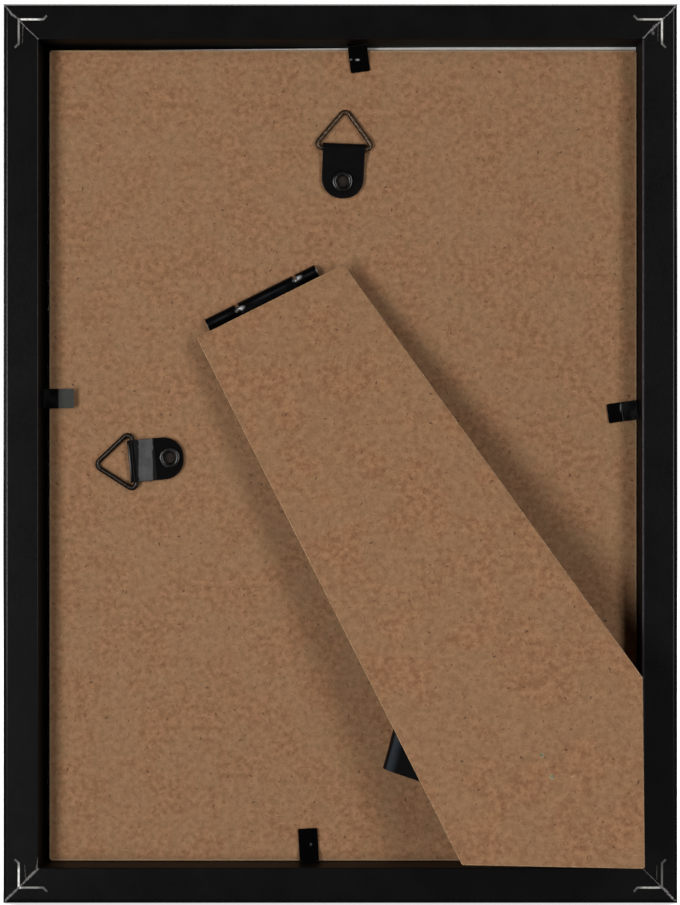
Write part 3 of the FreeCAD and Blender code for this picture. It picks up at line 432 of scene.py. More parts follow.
def nail_steel(corner, flat_arm, upright_arm):
    """A corrugated nail's sheared zinc edge: its two arms are painted bright and dull, a painted reflection,
    with darker spots.
    """
    right, up = CORNERS[corner]
    material, tree, place = new_material(f"zinc_nail_{corner}")
    across, height = (add(tree, "SeparateXYZ", (place["Object"],), out=axis) for axis in (0, 2))
    # How far a place lies from the middle lines of the upright and the flat arm.
    off = add(tree, "Math", (across, right * (HALF_WIDTH - NAIL_INSET) * MM), operation="ADD")
    off = add(tree, "Math", (off,), operation="ABSOLUTE")
    middle = (HALF_HEIGHT + up * (HALF_HEIGHT - NAIL_INSET)) * MM
    rise = add(tree, "Math", (height, middle), operation="SUBTRACT")
    rise = add(tree, "Math", (rise,), operation="ABSOLUTE")
    on_flat = add(tree, "MapRange", (off, 0.35 * MM, 0.6 * MM, 0, 1))
    wear = add(tree, "TexNoise", {
        "Vector": place["Object"], "Scale": per(0.6), "Detail": 3, "Roughness": 0.75})
    spots = add(tree, "MapRange", (wear, 0.38, 0.6, 0.45, 0))
    # The arms' sides and bent ends are painted darker, outside the painted reflection.
    ragged = add(tree, "Math", (wear, 0.5), operation="SUBTRACT")
    ragged = add(tree, "Math", (ragged, 0.5 * MM), operation="MULTIPLY")
    side = add(tree, "Math", (add(tree, "Math", (off, rise), operation="MINIMUM"), ragged), operation="ADD")
    sides = add(tree, "MapRange", (side, 0.13 * MM, 0.26 * MM, 0, 0.75))
    reach = add(tree, "Math", (off, rise), operation="MAXIMUM")
    ends = add(tree, "MapRange", (reach, 3.6 * MM, 5.2 * MM, 0, 0.8))
    colour = coats(tree, upright_arm, (on_flat, flat_arm), (spots, "#3c3a38"), (sides, "#2c2b2a"),
                   (ends, "#403f3d"))
    zinc = add(tree, "BsdfPrincipled", {
        "Base Color": colour, "Metallic": 0.35, "Roughness": 0.5,
        "Normal": add(tree, "Bump", {"Height": wear, "Distance": 0.02 * MM})})
    add(tree, "OutputMaterial", (zinc,))
    return material


def satin():
    """Woven polyester satin: long warp floats that shine across the ribbon, finer than the picture shows."""
    material, tree, place = new_material("polyester_satin")
    weave = place["UV"]
    # Warp threads are 0.12 mm apart. They are drawn 0.3 mm apart, and the weft 0.5 mm, so that they show.
    # A wave repeats every tau / 20 units.
    warp, weft = (
        add(tree, "TexWave", {
            "Vector": weave, "Scale": per(spacing) * math.tau / 20, "Distortion": uneven, "Detail": 1.0,
            "Detail Scale": 2.0}, out="Fac", bands_direction=way)
        for spacing, uneven, way in ((0.3, 0.4, "X"), (0.5, 0.8, "Y")))
    cloth = add(tree, "Math", (
        warp, add(tree, "Math", (weft, 0.35), operation="MULTIPLY")), operation="ADD")
    colour = add(tree, "ValToRGB", (cloth,), stops=((0.2, "#050606"), (0.9, "#0b0b0c")))
    # Along the crease a blue grey shine is painted into the colour: a painted highlight.
    along = add(tree, "SeparateXYZ", (weave,), out=1)
    crease = all_of(tree, *(
        add(tree, "MapRange", (along, low * MM, high * MM, *ends))
        for low, high, ends in ((31.5, 32.3, (0, 1)), (32.6, 35.0, (1, 0)))))
    sheen = add(tree, "ValToRGB", (cloth,), stops=((0.2, "#262b30"), (0.9, "#3c444b")))
    fabric = add(tree, "BsdfPrincipled", {
        "Base Color": coats(tree, colour, (crease, sheen)),
        "Roughness": add(tree, "MapRange", (cloth, 0.1, 1.2, 0.46, 0.34)),
        "Specular IOR Level": 0.08, "Anisotropic": 0.6, "Sheen Weight": 0.03, "Sheen Roughness": 0.35,
        "Sheen Tint": "#8fa3b8", "Normal": add(tree, "Bump", {"Height": cloth, "Distance": 0.03 * MM})})
    add(tree, "OutputMaterial", (fabric,))
    return material


def float_glass():
    """Clear float glass: a faint green, mirror smooth but for a breath of haze, with little loss."""
    material, tree, place = new_material("float_glass")
    haze = add(tree, "TexNoise", {
        "Vector": place["Object"], "Scale": per(30), "Detail": 3, "Roughness": 0.55})
    tint = add(tree, "MapRange", (haze, 0.3, 0.7, 0, 1))
    clear = add(tree, "BsdfTransparent", {"Color": coats(tree, "#fefffe", (tint, "#fcfefd"))})
    gloss = add(tree, "BsdfPrincipled", {
        "Base Color": "#0d100e", "Roughness": add(tree, "MapRange", (haze, 0.3, 0.7, 0.02, 0.05)),
        "Specular IOR Level": 1.0})
    # Each face turns back 4% of the light straight on and more at a slant, from inside the pane as from
    # outside.
    slant = add(tree, "LayerWeight", {"Blend": 0.5}, out="Facing")
    slant = add(tree, "Math", (slant, 5.0), operation="POWER")
    share = add(tree, "Math", (slant, 0.9, 0.04), operation="MULTIPLY_ADD")
    add(tree, "OutputMaterial", (add(tree, "MixShader", (share, clear, gloss)),))
    return material


def white_card():
    """Uncoated white card: matt, with the faint cloud of its pulp."""
    material, tree, place = new_material("uncoated_card")
    pulp = add(tree, "TexNoise", {
        "Vector": place["Object"], "Scale": per(2.2), "Detail": 4, "Roughness": 0.65})
    card = add(tree, "BsdfPrincipled", {
        "Base Color": add(tree, "ValToRGB", (pulp,), stops=((0.3, "#e6e5e1"), (0.7, "#efeeea"))),
        "Roughness": 0.75, "Specular IOR Level": 0.2,
        "Normal": add(tree, "Bump", {"Height": pulp, "Distance": 0.01 * MM})})
    add(tree, "OutputMaterial", (card,))
    return material


def floor_paint(colour, glow):
    """Matt studio floor, barely uneven, that glows for the camera: white further off, and dimmer round the
    frame as a painted shade.
    """
    material, tree, place = new_material("studio_floor")
    cloud = add(tree, "TexNoise", {
        "Vector": place["Object"], "Scale": per(60), "Detail": 3, "Roughness": 0.55})
    uneven = add(tree, "MapRange", (cloud, 0.4, 0.6, 0, 0.04))
    shade = coats(tree, (*colour, 1.0), (uneven, "#d2d1ce"))
    # To all but camera rays the floor is dark grey, so it throws little light back on the frame.
    seen = add(tree, "LightPath", out="Is Camera Ray")
    shade = coats(tree, "#3c3c3c", (seen, shade))
    # The glow grows from 0.3 to 1.2 m away, so the floor near the frame is painted darker: a painted shade.
    far = add(tree, "VectorMath", (place["Object"],), out="Value", operation="LENGTH")
    glow = add(tree, "MapRange", (far, 0.3, 1.2, glow, 1.0))
    floor = add(tree, "BsdfPrincipled", {
        "Base Color": shade, "Roughness": 0.7, "Specular IOR Level": 0.15, "Emission Color": "#ffffff",
        "Emission Strength": all_of(tree, seen, glow)})
    add(tree, "OutputMaterial", (floor,))
    return material


# Meshes

def new_mesh(name, vertices, faces, smooth=True, uvs=None):
    """A mesh object with outward faces; uvs are one pair for each vertex."""
    mesh = bpy.data.meshes.new(name)
    mesh.from_pydata([tuple(vertex) for vertex in vertices], [], faces)
    if uvs is not None:
        layer = mesh.uv_layers.new(name="weave")
        for loop in mesh.loops:
            layer.data[loop.index].uv = uvs[loop.vertex_index]
    build = bmesh.new()
    build.from_mesh(mesh)
    bmesh.ops.recalc_face_normals(build, faces=build.faces)
    build.to_mesh(mesh)
    build.free()
    for face in mesh.polygons:
        face.use_smooth = smooth
    piece = bpy.data.objects.new(name, mesh)
    bpy.context.scene.collection.objects.link(piece)
    return piece


def dress(node, material):
    """Gives a CAD piece its finish."""
    slots = NODES[node].data.materials
    if not slots:
        slots.append(material)
    for at in range(len(slots)):
        slots[at] = material


def smoothstep(value):
    """Eases 0 to 1."""
    value = min(max(value, 0.0), 1.0)
    return value * value * (3 - 2 * value)


# Settings

class RibbonSizes(PropertyGroup):
    """The stay ribbon's measures."""
    width: FloatProperty(
        name="Width", description="Width of the ribbon", default=0.015, unit="LENGTH")
    gauge: FloatProperty(
        name="Thickness", description="Thickness of the ribbon's middle", default=0.0003, unit="LENGTH")
    selvedge: FloatProperty(
        name="Selvedge", description="Thickness at the woven edges", default=0.00042, unit="LENGTH")
    loop: FloatProperty(
        name="Fold radius", description="Radius of the ribbon's fold", default=0.0033, unit="LENGTH")


class StudioSettings(PropertyGroup):
    """The floor, the air and the lamps."""
    floor_colour: FloatVectorProperty(
        name="Floor", description="Colour of the floor", subtype="COLOR", size=3,
        default=linear("#e9e8e6")[:3], min=0, max=1)
    floor_glow: FloatProperty(
        name="Floor glow", description="How much brighter the floor is in the picture than on the frame",
        default=0.62, min=0)
    air: FloatProperty(
        name="Air", description="Light that comes evenly from all around", default=0.01, min=0)
    key_power: FloatProperty(
        name="Key", description="Strength of the left softbox", default=3.3, min=0, unit="POWER")
    fill_power: FloatProperty(
        name="Fill", description="Strength of the right softbox", default=2.5, min=0, unit="POWER")
    side_power: FloatProperty(
        name="Side panel", description="Strength of the panel at the far left", default=0.4, min=0,
        unit="POWER")
    front_power: FloatProperty(
        name="Front", description="Strength of the softboxes before the picture side", default=15.0, min=0,
        unit="POWER")


# Pieces

class FRAMEBACK_OT_rails(Operator):
    """Wraps the four rails in black foil"""
    bl_idname = "frameback.rails"
    bl_label = "Rails"

    def execute(self, context):
        foil = paper_foil("#0f0e0e", "#131212")
        for side in ("top", "right", "bottom", "left"):
            dress(f"rail_{side}", foil)
        return {"FINISHED"}


# Chips along each mitre and the scuff beside each nail: (inwards from the side, inwards from the
# top or bottom, width), in mm.
CHIPS = {
    "top_left": [
        (0.05, 0.09, 0.19), (0.45, 0.5, 0.22), (1.3, 1.46, 0.34), (1.98, 2.4, 0.55), (2.4, 2.68, 0.6),
        (2.92, 3.0, 0.3), (3.5, 3.57, 0.31), (4.15, 4.25, 0.26), (4.85, 5.05, 0.22), (5.85, 6.0, 0.21),
        (7.03, 7.13, 0.19), (7.82, 7.82, 0.24)],
    "top_right": [
        (0.02, 0.02, 0.3), (0.55, 0.62, 0.4), (1.4, 1.62, 0.36), (2.27, 2.52, 0.26), (3.0, 3.12, 0.3),
        (3.55, 3.65, 0.15), (3.9, 4.0, 0.25), (4.5, 4.55, 0.45), (5.03, 4.99, 0.8), (5.43, 5.48, 0.5),
        (6.28, 6.2, 0.34), (6.93, 6.95, 0.25), (7.6, 7.62, 0.45)],
    "bottom_left": [
        (0.1, 0.07, 0.4), (0.37, 0.35, 0.5), (1.15, 1.28, 0.55), (2.2, 2.22, 0.5), (3.25, 3.23, 0.4),
        (4.33, 4.32, 0.36), (5.05, 5.04, 0.45), (5.97, 5.95, 0.62), (6.86, 6.84, 0.6), (7.7, 7.66, 0.42)],
    "bottom_right": [
        (7.72, 7.72, 0.1), (6.48, 6.47, 0.11), (5.39, 5.43, 0.12), (4.37, 4.4, 0.13), (3.76, 3.73, 0.25),
        (3.35, 3.46, 0.5), (2.76, 2.96, 0.6), (1.86, 1.9, 0.55), (1.03, 1.03, 0.5), (0.08, 0.05, 0.4)],
}
SCUFFS = {
    "top_left": [
        [(4.4, 4.9, 0.19), (4.36, 5.77, 0.19), (4.3, 7.08, 0.21), (4.24, 8.6, 0.12)]],
    "top_right": [
        [(4.3, 4.55, 0.16), (4.33, 5.77, 0.15), (4.36, 7.08, 0.16), (4.33, 8.23, 0.1)],
        [(5.62, 5.85, 0.2), (5.5, 6.25, 0.85), (5.4, 6.6, 0.8), (5.31, 6.9, 0.2)]],
    "bottom_left": [
        [(4.95, 5.43, 0.16), (4.86, 6.87, 0.19), (4.7, 8.48, 0.11)],
        [(7.3, 7.5, 0.4), (7.5, 8.6, 0.34), (7.62, 10.1, 0.12)]],
    "bottom_right": [
        [(4.6, 5.23, 0.12), (4.58, 6.65, 0.16), (4.53, 8.39, 0.1)]],
}


# Places along a stroke lie this far apart. Its middle stands up, and its two sides all but lie on the foil.
STROKE_STEP = 0.12
MIDDLE_RISE = 0.03
SIDE_RISE = 0.004


def back_level(inwards):
    """How far out the rail's back lies, so many mm inwards from its outer edge; both arrises are round."""
    if inwards < OUTER_ROUND:
        return BACK - OUTER_ROUND + math.sqrt(max(OUTER_ROUND ** 2 - (OUTER_ROUND - inwards) ** 2, 0))
    if inwards > RAIL_WIDE - INNER_ROUND:
        past = inwards - RAIL_WIDE + INNER_ROUND
        return BACK - INNER_ROUND + math.sqrt(max(INNER_ROUND ** 2 - past ** 2, 0))
    return BACK


def lay_strokes(name, corner, strokes):
    """Thin raised strokes that follow the moulding's back at one corner."""
    right, up = CORNERS[corner]
    vertices, faces = [], []
    for stroke in strokes:
        line = []
        for here, there in zip(stroke, stroke[1:]):
            steps = max(int(math.hypot(there[0] - here[0], there[1] - here[1]) / STROKE_STEP), 1)
            line += [
                [old + (new - old) * step / steps for old, new in zip(here, there)] for step in range(steps)]
        line.append(stroke[-1])
        first = len(vertices)
        for at, (aside, above, wide) in enumerate(line):
            before, after = line[max(at - 1, 0)], line[min(at + 1, len(line) - 1)]
            run = Vector((after[0] - before[0], after[1] - before[1])).normalized()
            # Chipped edges are ragged on the scale of a fibre.
            rag = (0.85 + 0.5 * math.sin(7.3 * at + 2.1 * first) * math.sin(3.1 * at)
                   + 0.25 * math.sin(1.7 * at))
            aside += 0.05 * math.sin(2.3 * at + first)
            above += 0.05 * math.sin(3.7 * at)
            for side in (-0.5, 0, 0.5):
                inwards = aside - run.y * wide * rag * side, above + run.x * wide * rag * side
                level = back_level(min(inwards)) + (MIDDLE_RISE if side == 0 else SIDE_RISE)
                vertices.append(from_back(
                    right * (HALF_WIDTH - inwards[0]), up * (HALF_HEIGHT - inwards[1]), level))
        for at in range(len(line) - 1):
            for side in (0, 1):
                here = first + 3 * at + side
                faces.append((here, here + 1, here + 4, here + 3))
    return new_mesh(name, vertices, faces)


class FRAMEBACK_OT_mitre_wear(Operator):
    """Chips the foil along the mitres and scuffs it beside the nails"""
    bl_idname = "frameback.mitre_wear"
    bl_label = "Mitre wear"

    def execute(self, context):
        pale = raw_core("chipped_fibre_core", "#2e2d2d", "#949190")
        grey = raw_core("scuffed_foil", "#1f1e1f", "#6a6869")
        for corner in CORNERS:
            for kind, strokes, finish in (
                    ("mitre_chips", [CHIPS[corner]], pale), ("nail_scuff", SCUFFS[corner], grey)):
                piece = lay_strokes(f"{kind}_{corner}", corner, strokes)
                piece.data.materials.append(finish)
                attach(piece, "frame")
        return {"FINISHED"}


class FRAMEBACK_OT_nails(Operator):
    """Gives the corner nails their sheared zinc edges, with painted reflections on their arms"""
    bl_idname = "frameback.nails"
    bl_label = "Corner nails"

    def execute(self, context):
        # Each corner's arm colours, flat then upright, are painted reflections, bright or dull.
        for corner, flat_arm, upright_arm in (
                ("top_left", "#f2f0ea", "#8a8783"), ("top_right", "#c2bfb8", "#dcd9d2"),
                ("bottom_left", "#8a8783", "#f2f0ea"), ("bottom_right", "#c2c0b9", "#62615f")):
            dress(f"vnail_{corner}", nail_steel(corner, flat_arm, upright_arm))
        return {"FINISHED"}


class FRAMEBACK_OT_pane(Operator):
    """Finishes the glass and the card behind it"""
    bl_idname = "frameback.pane"
    bl_label = "Glass and card"

    def execute(self, context):
        dress("glass_pane", float_glass())
        # The card was cut a little out of true, so its edge shows over the board towards the right.
        corners = [(-64.1, 89.35), (20, 90.15), (65.62, 90.19), (65.5, -89.2), (-62.9, -90.08)]
        low, high = (corner.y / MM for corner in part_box("paper_insert"))
        # Air keeps the card's faces off the glass and the board.
        air = 0.05
        vertices = [
            from_back(across, up, level) for level in (low + air, high - air) for across, up in corners]
        count = len(corners)
        faces = [tuple(range(count)), tuple(range(count, 2 * count))] + [
            (at, (at + 1) % count, (at + 1) % count + count, at + count) for at in range(count)]
        card = new_mesh("card_insert", vertices, faces, smooth=False)
        card.data.materials.append(white_card())
        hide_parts("paper_insert")
        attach(card, "frame")
        return {"FINISHED"}


class FRAMEBACK_OT_backboard(Operator):
    """Gives the backboard its pressed fibre"""
    bl_idname = "frameback.backboard"
    bl_label = "Backboard"

    def execute(self, context):
        dress("backboard", hardboard(
            "hardboard_back", "#805a3a", "#9c7251", "#b8936c", (0, 1, 0), rim="backboard"))
        return {"FINISHED"}


class FRAMEBACK_OT_tabs(Operator):
    """Lacquers the four flexible tabs"""
    bl_idname = "frameback.tabs"
    bl_label = "Tabs"

    def execute(self, context):
        # Each bend gets a painted highlight: a bright grey oval on its kink.
        kink_highlights = [(3.81, 86.95, 1.3, 0.6, 0, "#9b9c9c", 0.95), (2.31, 86.99, 0.9, 0.5, 0, "#6f6f6f", 0.85),
                  (61.9, 10.1, 2.4, 0.45, 90, "#66696b", 0.85), (-6.5, -86.35, 0.7, 1.0, 0, "#41474a", 0.85)]
        black = lacquered_steel("lacquered_tab_steel", rough=0.07, shine=0.05, ease=0.08, marks=kink_highlights)
        # The left tab is bent up, and its tip is painted grey: a painted reflection.
        painted_highlight = lacquered_steel("tab_steel_painted_reflection", rough=0.07, shine=0.05, ease=0.08, painted_reflection_reach=62.1)
        for side in ("top", "right", "bottom", "left"):
            dress(f"tab_{side}", painted_highlight if side == "left" else black)
            dress(f"tab_{side}_anchor", black)
        return {"FINISHED"}


class FRAMEBACK_OT_hangers(Operator):
    """Finishes the hangers' straps and rings"""
    bl_idname = "frameback.hangers"
    bl_label = "Hangers"

    def execute(self, context):
        # A bright line painted along the left strap's fold round its ring is a painted highlight.
        fold = [(-46.4, -1.8, 9.6, 0.5, -85.3, "#7d7b77", 0.85)]
        # The two rings are one wire, painted lighter for the top and darker for the left: painted light and
        # shade.
        for hanger, dull, painted_light, dark, middle, light in (
                ("top", None, (), "#2a1e13", "#5a4633", "#8a745a"),
                ("left", (41.4, 44.5), fold, "#150f0a", "#2a1f15", "#5a4a3c")):
            dress(f"hanger_{hanger}_strap", lacquered_steel(
                f"lacquered_strap_steel_{hanger}", "#0e0d0d", rough=0.13, shine=0.13, ease=0.25, peel=0.009,
                dull=dull, marks=painted_light))
            dress(f"hanger_{hanger}_ring", drawn_wire(f"bronzed_wire_{hanger}", dark, middle, light))
        return {"FINISHED"}


def rolled_rivet(name, node):
    """A turned semi-tubular rivet with a rolled rim, in a CAD rivet's place."""
    low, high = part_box(node)
    centre = (low + high) / 2
    top = high.y / MM
    foot = low.y / MM
    rim, hole, rise = 2.35, 1.275, 0.55
    shaft, head = 1.65, 0.5
    profile = [(0, foot), (2.3, foot), (2.55, foot + 0.12), (2.6, foot + 0.3), (2.5, foot + head),
               (shaft, foot + head), (shaft, top - rise), (rim - 0.2, top - rise)]
    middle, half_wide, half_high = (rim + hole) / 2, (rim - hole) / 2, rise / 2
    for step in range(13):
        turn = math.radians(-60 + 20 * step)
        reach = middle + half_wide * math.cos(turn)
        profile.append((reach, top - half_high + half_high * math.sin(turn)))
    profile += [
        (hole - 0.02, top - 0.75), (hole - 0.06, top - 1.2), (hole - 0.3, top - 1.38), (0, top - 1.4)]
    around = 64
    vertices, faces = [], []
    for reach, level in profile[1:-1]:
        for step in range(around):
            turn = math.tau * step / around
            # The rim is rolled by a punch, so it isn't quite even.
            ripple = 1 + (0.012 * math.sin(5 * turn + 0.7) if level > top - rise else 0)
            vertices.append((centre.x + reach * ripple * math.cos(turn) * MM, level * MM,
                             centre.z + reach * ripple * math.sin(turn) * MM))
    rows = len(profile) - 2
    for row in range(rows - 1):
        for step in range(around):
            after = (step + 1) % around
            faces.append((row * around + step, row * around + after, (row + 1) * around + after,
                          (row + 1) * around + step))
    vertices += [(centre.x, profile[0][1] * MM, centre.z), (centre.x, profile[-1][1] * MM, centre.z)]
    for step in range(around):
        after = (step + 1) % around
        faces.append((len(vertices) - 2, after, step))
        faces.append((len(vertices) - 1, (rows - 1) * around + step, (rows - 1) * around + after))
    piece = new_mesh(name, vertices, faces)
    # The punched hollow takes the second finish.
    for face in piece.data.polygons:
        away = face.center - Vector((centre.x, face.center.y, centre.z))
        if away.length < (hole - 0.01) * MM and face.center.y > (top - 1.45) * MM:
            face.material_index = 1
    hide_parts(node)
    return piece


class FRAMEBACK_OT_rivets(Operator):
    """Turns the hangers' two rivets with rolled rims"""
    bl_idname = "frameback.rivets"
    bl_label = "Rivets"

    def execute(self, context):
        black = lacquered_steel("blackened_rivet_steel", "#0b0a09", 0.2, 0.4, 0.05, 0.004)
        bore = raw_core("punched_rivet_bore", "#1b1512", "#2e2520")
        for hanger in ("top", "left"):
            piece = rolled_rivet(f"rivet_{hanger}", f"hanger_{hanger}_rivet")
            piece.data.materials.append(black)
            piece.data.materials.append(bore)
            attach(piece, "frame")
        return {"FINISHED"}


class FRAMEBACK_OT_hinge(Operator):
    """Lacquers the hinge and bares its pin"""
    bl_idname = "frameback.hinge"
    bl_label = "Hinge"

    def execute(self, context):
        # Painted highlights: grey streaks along the knuckles, bright spots where they meet, and pale marks
        # at the two ends of the pin.
        painted_light = [(-15.8, 35.0, 13, 0.9, 26.5, "#1e2022", 0.7), (-26.3, 29.7, 7, 0.8, 26.5, "#1e2022", 0.7),
                (-7.0, 39.4, 5, 0.8, 26.5, "#1e2022", 0.7),
                (-22.06, 31.8, 3.0, 1.3, 30, "#a3a3a3", 0.8), (-22.06, 31.8, 1.7, 0.7, 30, "#c9c9c9", 0.9),
                (-9.46, 38.52, 3.0, 1.3, 30, "#9a9b9c", 0.8), (-9.46, 38.52, 1.6, 0.7, 30, "#b9babb", 0.9),
                (-29.3, 28.07, 1.9, 0.5, 116.5, "#8e8d8b", 0.7),
                (-5.18, 40.28, 1.9, 0.5, 116.5, "#8e8d8b", 0.7)]
        black = lacquered_steel("lacquered_hinge_steel", rough=0.14, shine=0.3, ease=0.1, marks=painted_light)
        dress("hinge_board_leaf", black)
        dress("hinge_strut_leaf", black)
        dress("hinge_pin", bare_metal("bare_pin_steel", "#8d8c8a", "#d9d8d5", 0.25, 1.0))
        return {"FINISHED"}


class FRAMEBACK_OT_strut(Operator):
    """Gives the strut its pressed fibre and sawn edges"""
    bl_idname = "frameback.strut"
    bl_label = "Strut"

    def execute(self, context):
        face = (STRUT.to_3x3() @ Vector((0, 0, 1))).normalized()
        # Crushed fibre round the staple's two tips, a crease between them, a scratch and a knot of bark.
        marks = [
            (43.7, -66.2, 5.4, 0.4, -65.5, "#ad8e6a", 0.4), (42.7, -63.9, 1.5, 1.2, -60, "#97946f", 0.8),
            (44.75, -68.5, 1.9, 1.6, -60, "#97946f", 0.85), (49.1, -68.3, 2.2, 0.3, 9, "#bb9a76", 0.8),
            (47.9, -62.8, 0.95, 0.75, 20, "#42260f", 0.95)]
        dress("strut", hardboard("hardboard_strut", "#845b3b", "#a07553", "#c9a782", face, marks))
        return {"FINISHED"}


def below_strut(run):
    """The height of the ribbon's middle where it lies against the strut, so many mm from its fold."""
    along = FOLD_FROM_PIN + RUN_FROM_PIN * run
    return PIN_LIFT + along * math.tan(OPENING) + (PIN_LIFT - RIBBON_LEVEL) / math.cos(OPENING)


def ribbon_line(loop):
    """The ribbon's middle line, as (run, height, share of the strut's slope), and its length.

    It starts at its end on the board and goes on in equal steps. loop is the radius of its fold.
    """
    rise = below_strut(STRUT_MEETS) - RIBBON_LEVEL - loop
    reach = STRUT_MEETS - loop
    slope = math.atan2(rise, reach) - math.asin(loop / math.hypot(rise, reach))
    corners = [(BOARD_END, RIBBON_LEVEL, 0.0), (loop, RIBBON_LEVEL, 0.0)]
    for step in range(1, 13):
        angle = -math.pi / 2 - (math.pi - slope) * step / 12
        corners.append((loop + loop * math.cos(angle), RIBBON_LEVEL + loop + loop * math.sin(angle), 0.0))
    leaving = corners[-1]
    for step in range(1, 13):
        part = step / 12
        # It hangs slack between its fold and the strut.
        sag = SLACK * math.sin(math.pi * part) ** 2
        corners.append((
            leaving[0] + (STRUT_MEETS - leaving[0]) * part,
            leaving[1] + (below_strut(STRUT_MEETS) - leaving[1]) * part - sag, smoothstep(part)))
    corners.append((STRUT_END, below_strut(STRUT_END), 1.0))

    lengths = [0.0]
    for here, there in zip(corners, corners[1:]):
        lengths.append(lengths[-1] + math.hypot(there[0] - here[0], there[1] - here[1]))
    line = []
    for step in range(RIBBON_STEPS + 1):
        want = lengths[-1] * step / RIBBON_STEPS
        passed = max(at for at, length in enumerate(lengths) if length <= want)
        at = min(passed, len(corners) - 2)
        part = (want - lengths[at]) / (lengths[at + 1] - lengths[at])
        line.append([old + (new - old) * part for old, new in zip(corners[at], corners[at + 1])])
    # Ease the joins between straight and round.
    for _ in range(3):
        line = [line[0]] + [
            [(old + 2 * now + new) / 4 for old, now, new in zip(before, here, after)]
            for before, here, after in zip(line, line[1:], line[2:])] + [line[-1]]
    return line, lengths[-1]


class FRAMEBACK_OT_ribbon(Operator):
    """Weaves the folded stay ribbon between the board and the strut"""
    bl_idname = "frameback.ribbon"
    bl_label = "Stay ribbon"

    def execute(self, context):
        sizes = context.scene.frameback_ribbon
        line, length = ribbon_line(sizes.loop / MM)
        half = sizes.width / MM / 2
        across = [-1.0, -0.985, -0.95, -0.9] + [step / 8 for step in range(-7, 8)] + [0.9, 0.95, 0.985, 1.0]
        vertices, uvs = [], []
        for at, (run, height, share) in enumerate(line):
            before, after = line[max(at - 1, 0)], line[min(at + 1, len(line) - 1)]
            along = Vector((after[0] - before[0], 0, after[1] - before[1])).normalized()
            inner = Vector((along.z, 0, -along.x))
            free = math.sin(math.pi * at / (len(line) - 1)) ** 2
            for layer in (1, -1):
                for side in across:
                    # The selvedge is a thicker band along each edge, which thins out at the very last.
                    edge = smoothstep((abs(side) - 0.9) / 0.06) * (1 - smoothstep((abs(side) - 0.97) / 0.03))
                    thick = sizes.gauge / MM / 2 + (sizes.selvedge - sizes.gauge) / MM / 2 * edge
                    thick *= 1 - 0.7 * smoothstep((abs(side) - 0.985) / 0.015)
                    # Away from its two ends it cups and ripples by about a tenth of a millimetre.
                    cup = 0.10 * free * math.sin(2.3 * side + 0.045 * at) + 0.05 * free * side * side
                    tilt = share * SIDE_TO_PIN * math.tan(OPENING) * side * half
                    spot = Vector((run, side * half, height - tilt))
                    spot += inner * (layer * thick + cup)
                    vertices.append(RIBBON @ spot)
                    uvs.append((side * half * MM, length * at / (len(line) - 1) * MM))
        wide = len(across)
        row = 2 * wide
        faces = []
        for at in range(len(line) - 1):
            for column in range(wide - 1):
                for shift, flip in ((0, False), (wide, True)):
                    here = at * row + shift + column
                    quad = (here, here + 1, here + row + 1, here + row)
                    faces.append(quad[::-1] if flip else quad)
            for column in (0, wide - 1):
                here = at * row + column
                faces.append((here, here + row, here + row + wide, here + wide))
        for end in (0, (len(line) - 1) * row):
            for here in range(end, end + wide - 1):
                faces.append((here, here + 1, here + 1 + wide, here + wide))
        piece = new_mesh("ribbon_stay", vertices, faces, uvs=uvs)
        piece.data.materials.append(satin())
        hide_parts("stay_ribbon")
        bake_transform(piece)
        return {"FINISHED"}


class FRAMEBACK_OT_staples(Operator):
    """Finishes the two staples"""
    bl_idname = "frameback.staples"
    bl_label = "Staples"

    def execute(self, context):
        zinc = bare_metal("galvanised_staple_wire", "#66644f", "#86836a", 0.6, 0.0)
        dress("strut_staple", zinc)
        dress("board_staple", zinc)
        return {"FINISHED"}


# Where the camera stands, and its focal length in millimetres.
CAMERA_PLACE = (0.00007, 0.609, 0.09822)
LENS = 109.6


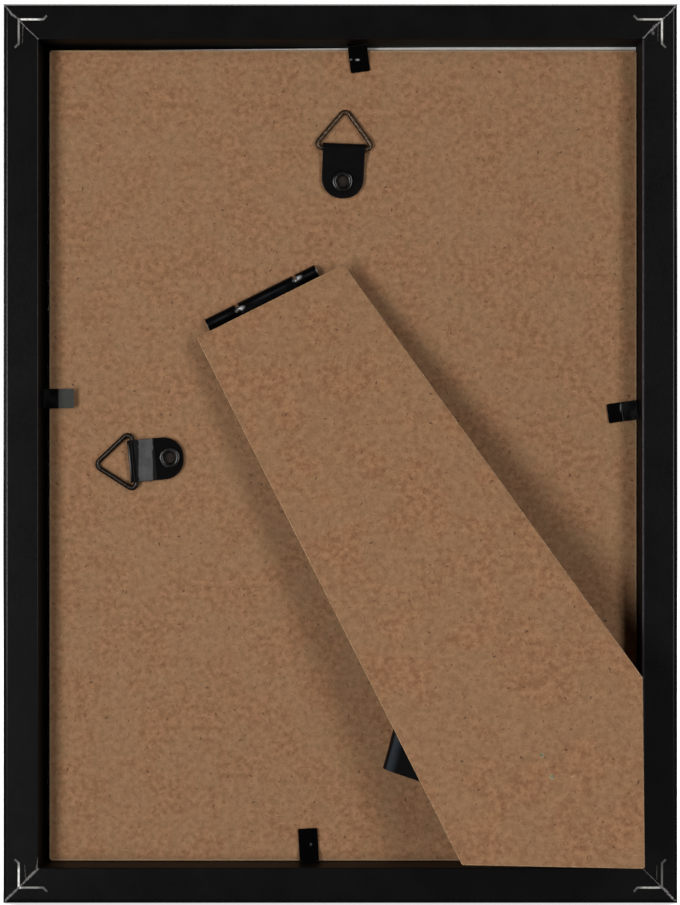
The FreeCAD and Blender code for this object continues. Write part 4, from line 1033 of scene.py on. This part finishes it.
class FRAMEBACK_OT_studio(Operator):
    """Sets out the floor, the lamps and the camera"""
    bl_idname = "frameback.studio"
    bl_label = "Studio"

    def execute(self, context):
        settings = context.scene.frameback_studio
        reach = 4
        corners = [(-reach, -reach, 0), (reach, -reach, 0), (reach, reach, 0), (-reach, reach, 0)]
        floor = new_mesh("floor", corners, [(0, 1, 2, 3)], smooth=False)
        floor.data.materials.append(floor_paint(settings.floor_colour, settings.floor_glow))
        # The softboxes reach below the table's edge, so the floor doesn't shade the frame from them.
        floor.visible_shadow = False

        world = bpy.data.worlds.new("studio_air")
        context.scene.world = world
        world.use_nodes = True
        tree = world.node_tree
        tree.nodes.clear()
        # The camera sees white, and the pieces a dim air.
        dim = add(tree, "Background", ("#f4f6fa", settings.air))
        white = add(tree, "Background", ("#ffffff", 1.0))
        seen = add(tree, "LightPath", out="Is Camera Ray")
        add(tree, "OutputWorld", (add(tree, "MixShader", (seen, dim, white)),))

        middle = Vector((0, 0, HALF_HEIGHT * MM))
        # Each softbox has a bright strip and a weaker one beside it; the left hangs lower than the right.
        # Lamps at this distance behind the frame face straight ahead, and the others face its middle.
        behind = 0.80
        for name, place, wide, high, power in (
                ("key_softbox", (0.368, behind, 0.034), 0.155, 0.6, settings.key_power),
                ("key_spill", (0.475, behind, 0.034), 0.15, 0.6, settings.key_power * 0.8),
                ("fill_softbox", (-0.368, behind, 0.234), 0.155, 0.76, settings.fill_power),
                ("fill_spill", (-0.47, behind, 0.234), 0.15, 0.76, settings.fill_power * 0.6),
                ("side_panel", (0.92, 0.52, 0.11), 0.22, 0.3, settings.side_power),
                ("front_softbox_left", (-0.7, -0.8, 0.6), 0.6, 0.8, settings.front_power),
                ("front_softbox_right", (0.75, -0.7, 0.45), 0.5, 0.8, settings.front_power * 0.7),
                ("overhead_softbox", (0, -0.35, 1.2), 1.0, 0.6, settings.front_power)):
            lamp = bpy.data.lights.new(name, "AREA")
            lamp.shape = "ELLIPSE"
            lamp.size = wide
            lamp.size_y = high
            lamp.energy = power
            piece = bpy.data.objects.new(name, lamp)
            piece.location = place
            ahead = Vector((place[0], 0, place[2])) if place[1] == behind else middle
            piece.rotation_euler = (ahead - Vector(place)).to_track_quat("-Z", "Y").to_euler()
            piece.visible_camera = False
            context.scene.collection.objects.link(piece)

        lens = bpy.data.cameras.new("camera")
        lens.lens = LENS
        lens.sensor_width = 36
        lens.clip_start = 0.01
        camera = bpy.data.objects.new("camera", lens)
        camera.location = CAMERA_PLACE
        camera.rotation_euler = (math.radians(90), 0, math.radians(180))
        context.scene.collection.objects.link(camera)
        context.scene.camera = camera
        context.scene.view_settings.view_transform = "Standard"
        return {"FINISHED"}


OPERATORS = (
    FRAMEBACK_OT_studio, FRAMEBACK_OT_ribbon, FRAMEBACK_OT_rails, FRAMEBACK_OT_mitre_wear,
    FRAMEBACK_OT_nails, FRAMEBACK_OT_pane, FRAMEBACK_OT_backboard, FRAMEBACK_OT_tabs, FRAMEBACK_OT_hangers,
    FRAMEBACK_OT_rivets, FRAMEBACK_OT_hinge, FRAMEBACK_OT_strut, FRAMEBACK_OT_staples)
SETTINGS = {"frameback_ribbon": RibbonSizes, "frameback_studio": StudioSettings}


class FRAMEBACK_PT_pieces(Panel):
    """Lists the frame's pieces and settings"""
    bl_idname = "FRAMEBACK_PT_pieces"
    bl_label = "Photo frame"
    bl_space_type = "VIEW_3D"
    bl_region_type = "UI"
    bl_category = "Photo frame"

    def draw(self, context):
        for name, group in SETTINGS.items():
            box = self.layout.box()
            for setting in group.__annotations__:
                box.prop(getattr(context.scene, name), setting)
        for operator in OPERATORS:
            self.layout.operator(operator.bl_idname)


def register():
    for group in (*SETTINGS.values(), *OPERATORS, FRAMEBACK_PT_pieces):
        bpy.utils.register_class(group)
    for name, group in SETTINGS.items():
        setattr(bpy.types.Scene, name, PointerProperty(type=group))


def unregister():
    for name in SETTINGS:
        delattr(bpy.types.Scene, name)
    for group in (FRAMEBACK_PT_pieces, *reversed(OPERATORS), *SETTINGS.values()):
        bpy.utils.unregister_class(group)


def main():
    """Builds the frame piece by piece."""
    register()
    for operator in OPERATORS:
        family, name = operator.bl_idname.split(".")
        getattr(getattr(bpy.ops, family), name)()


if __name__ == "__main__":
    main()
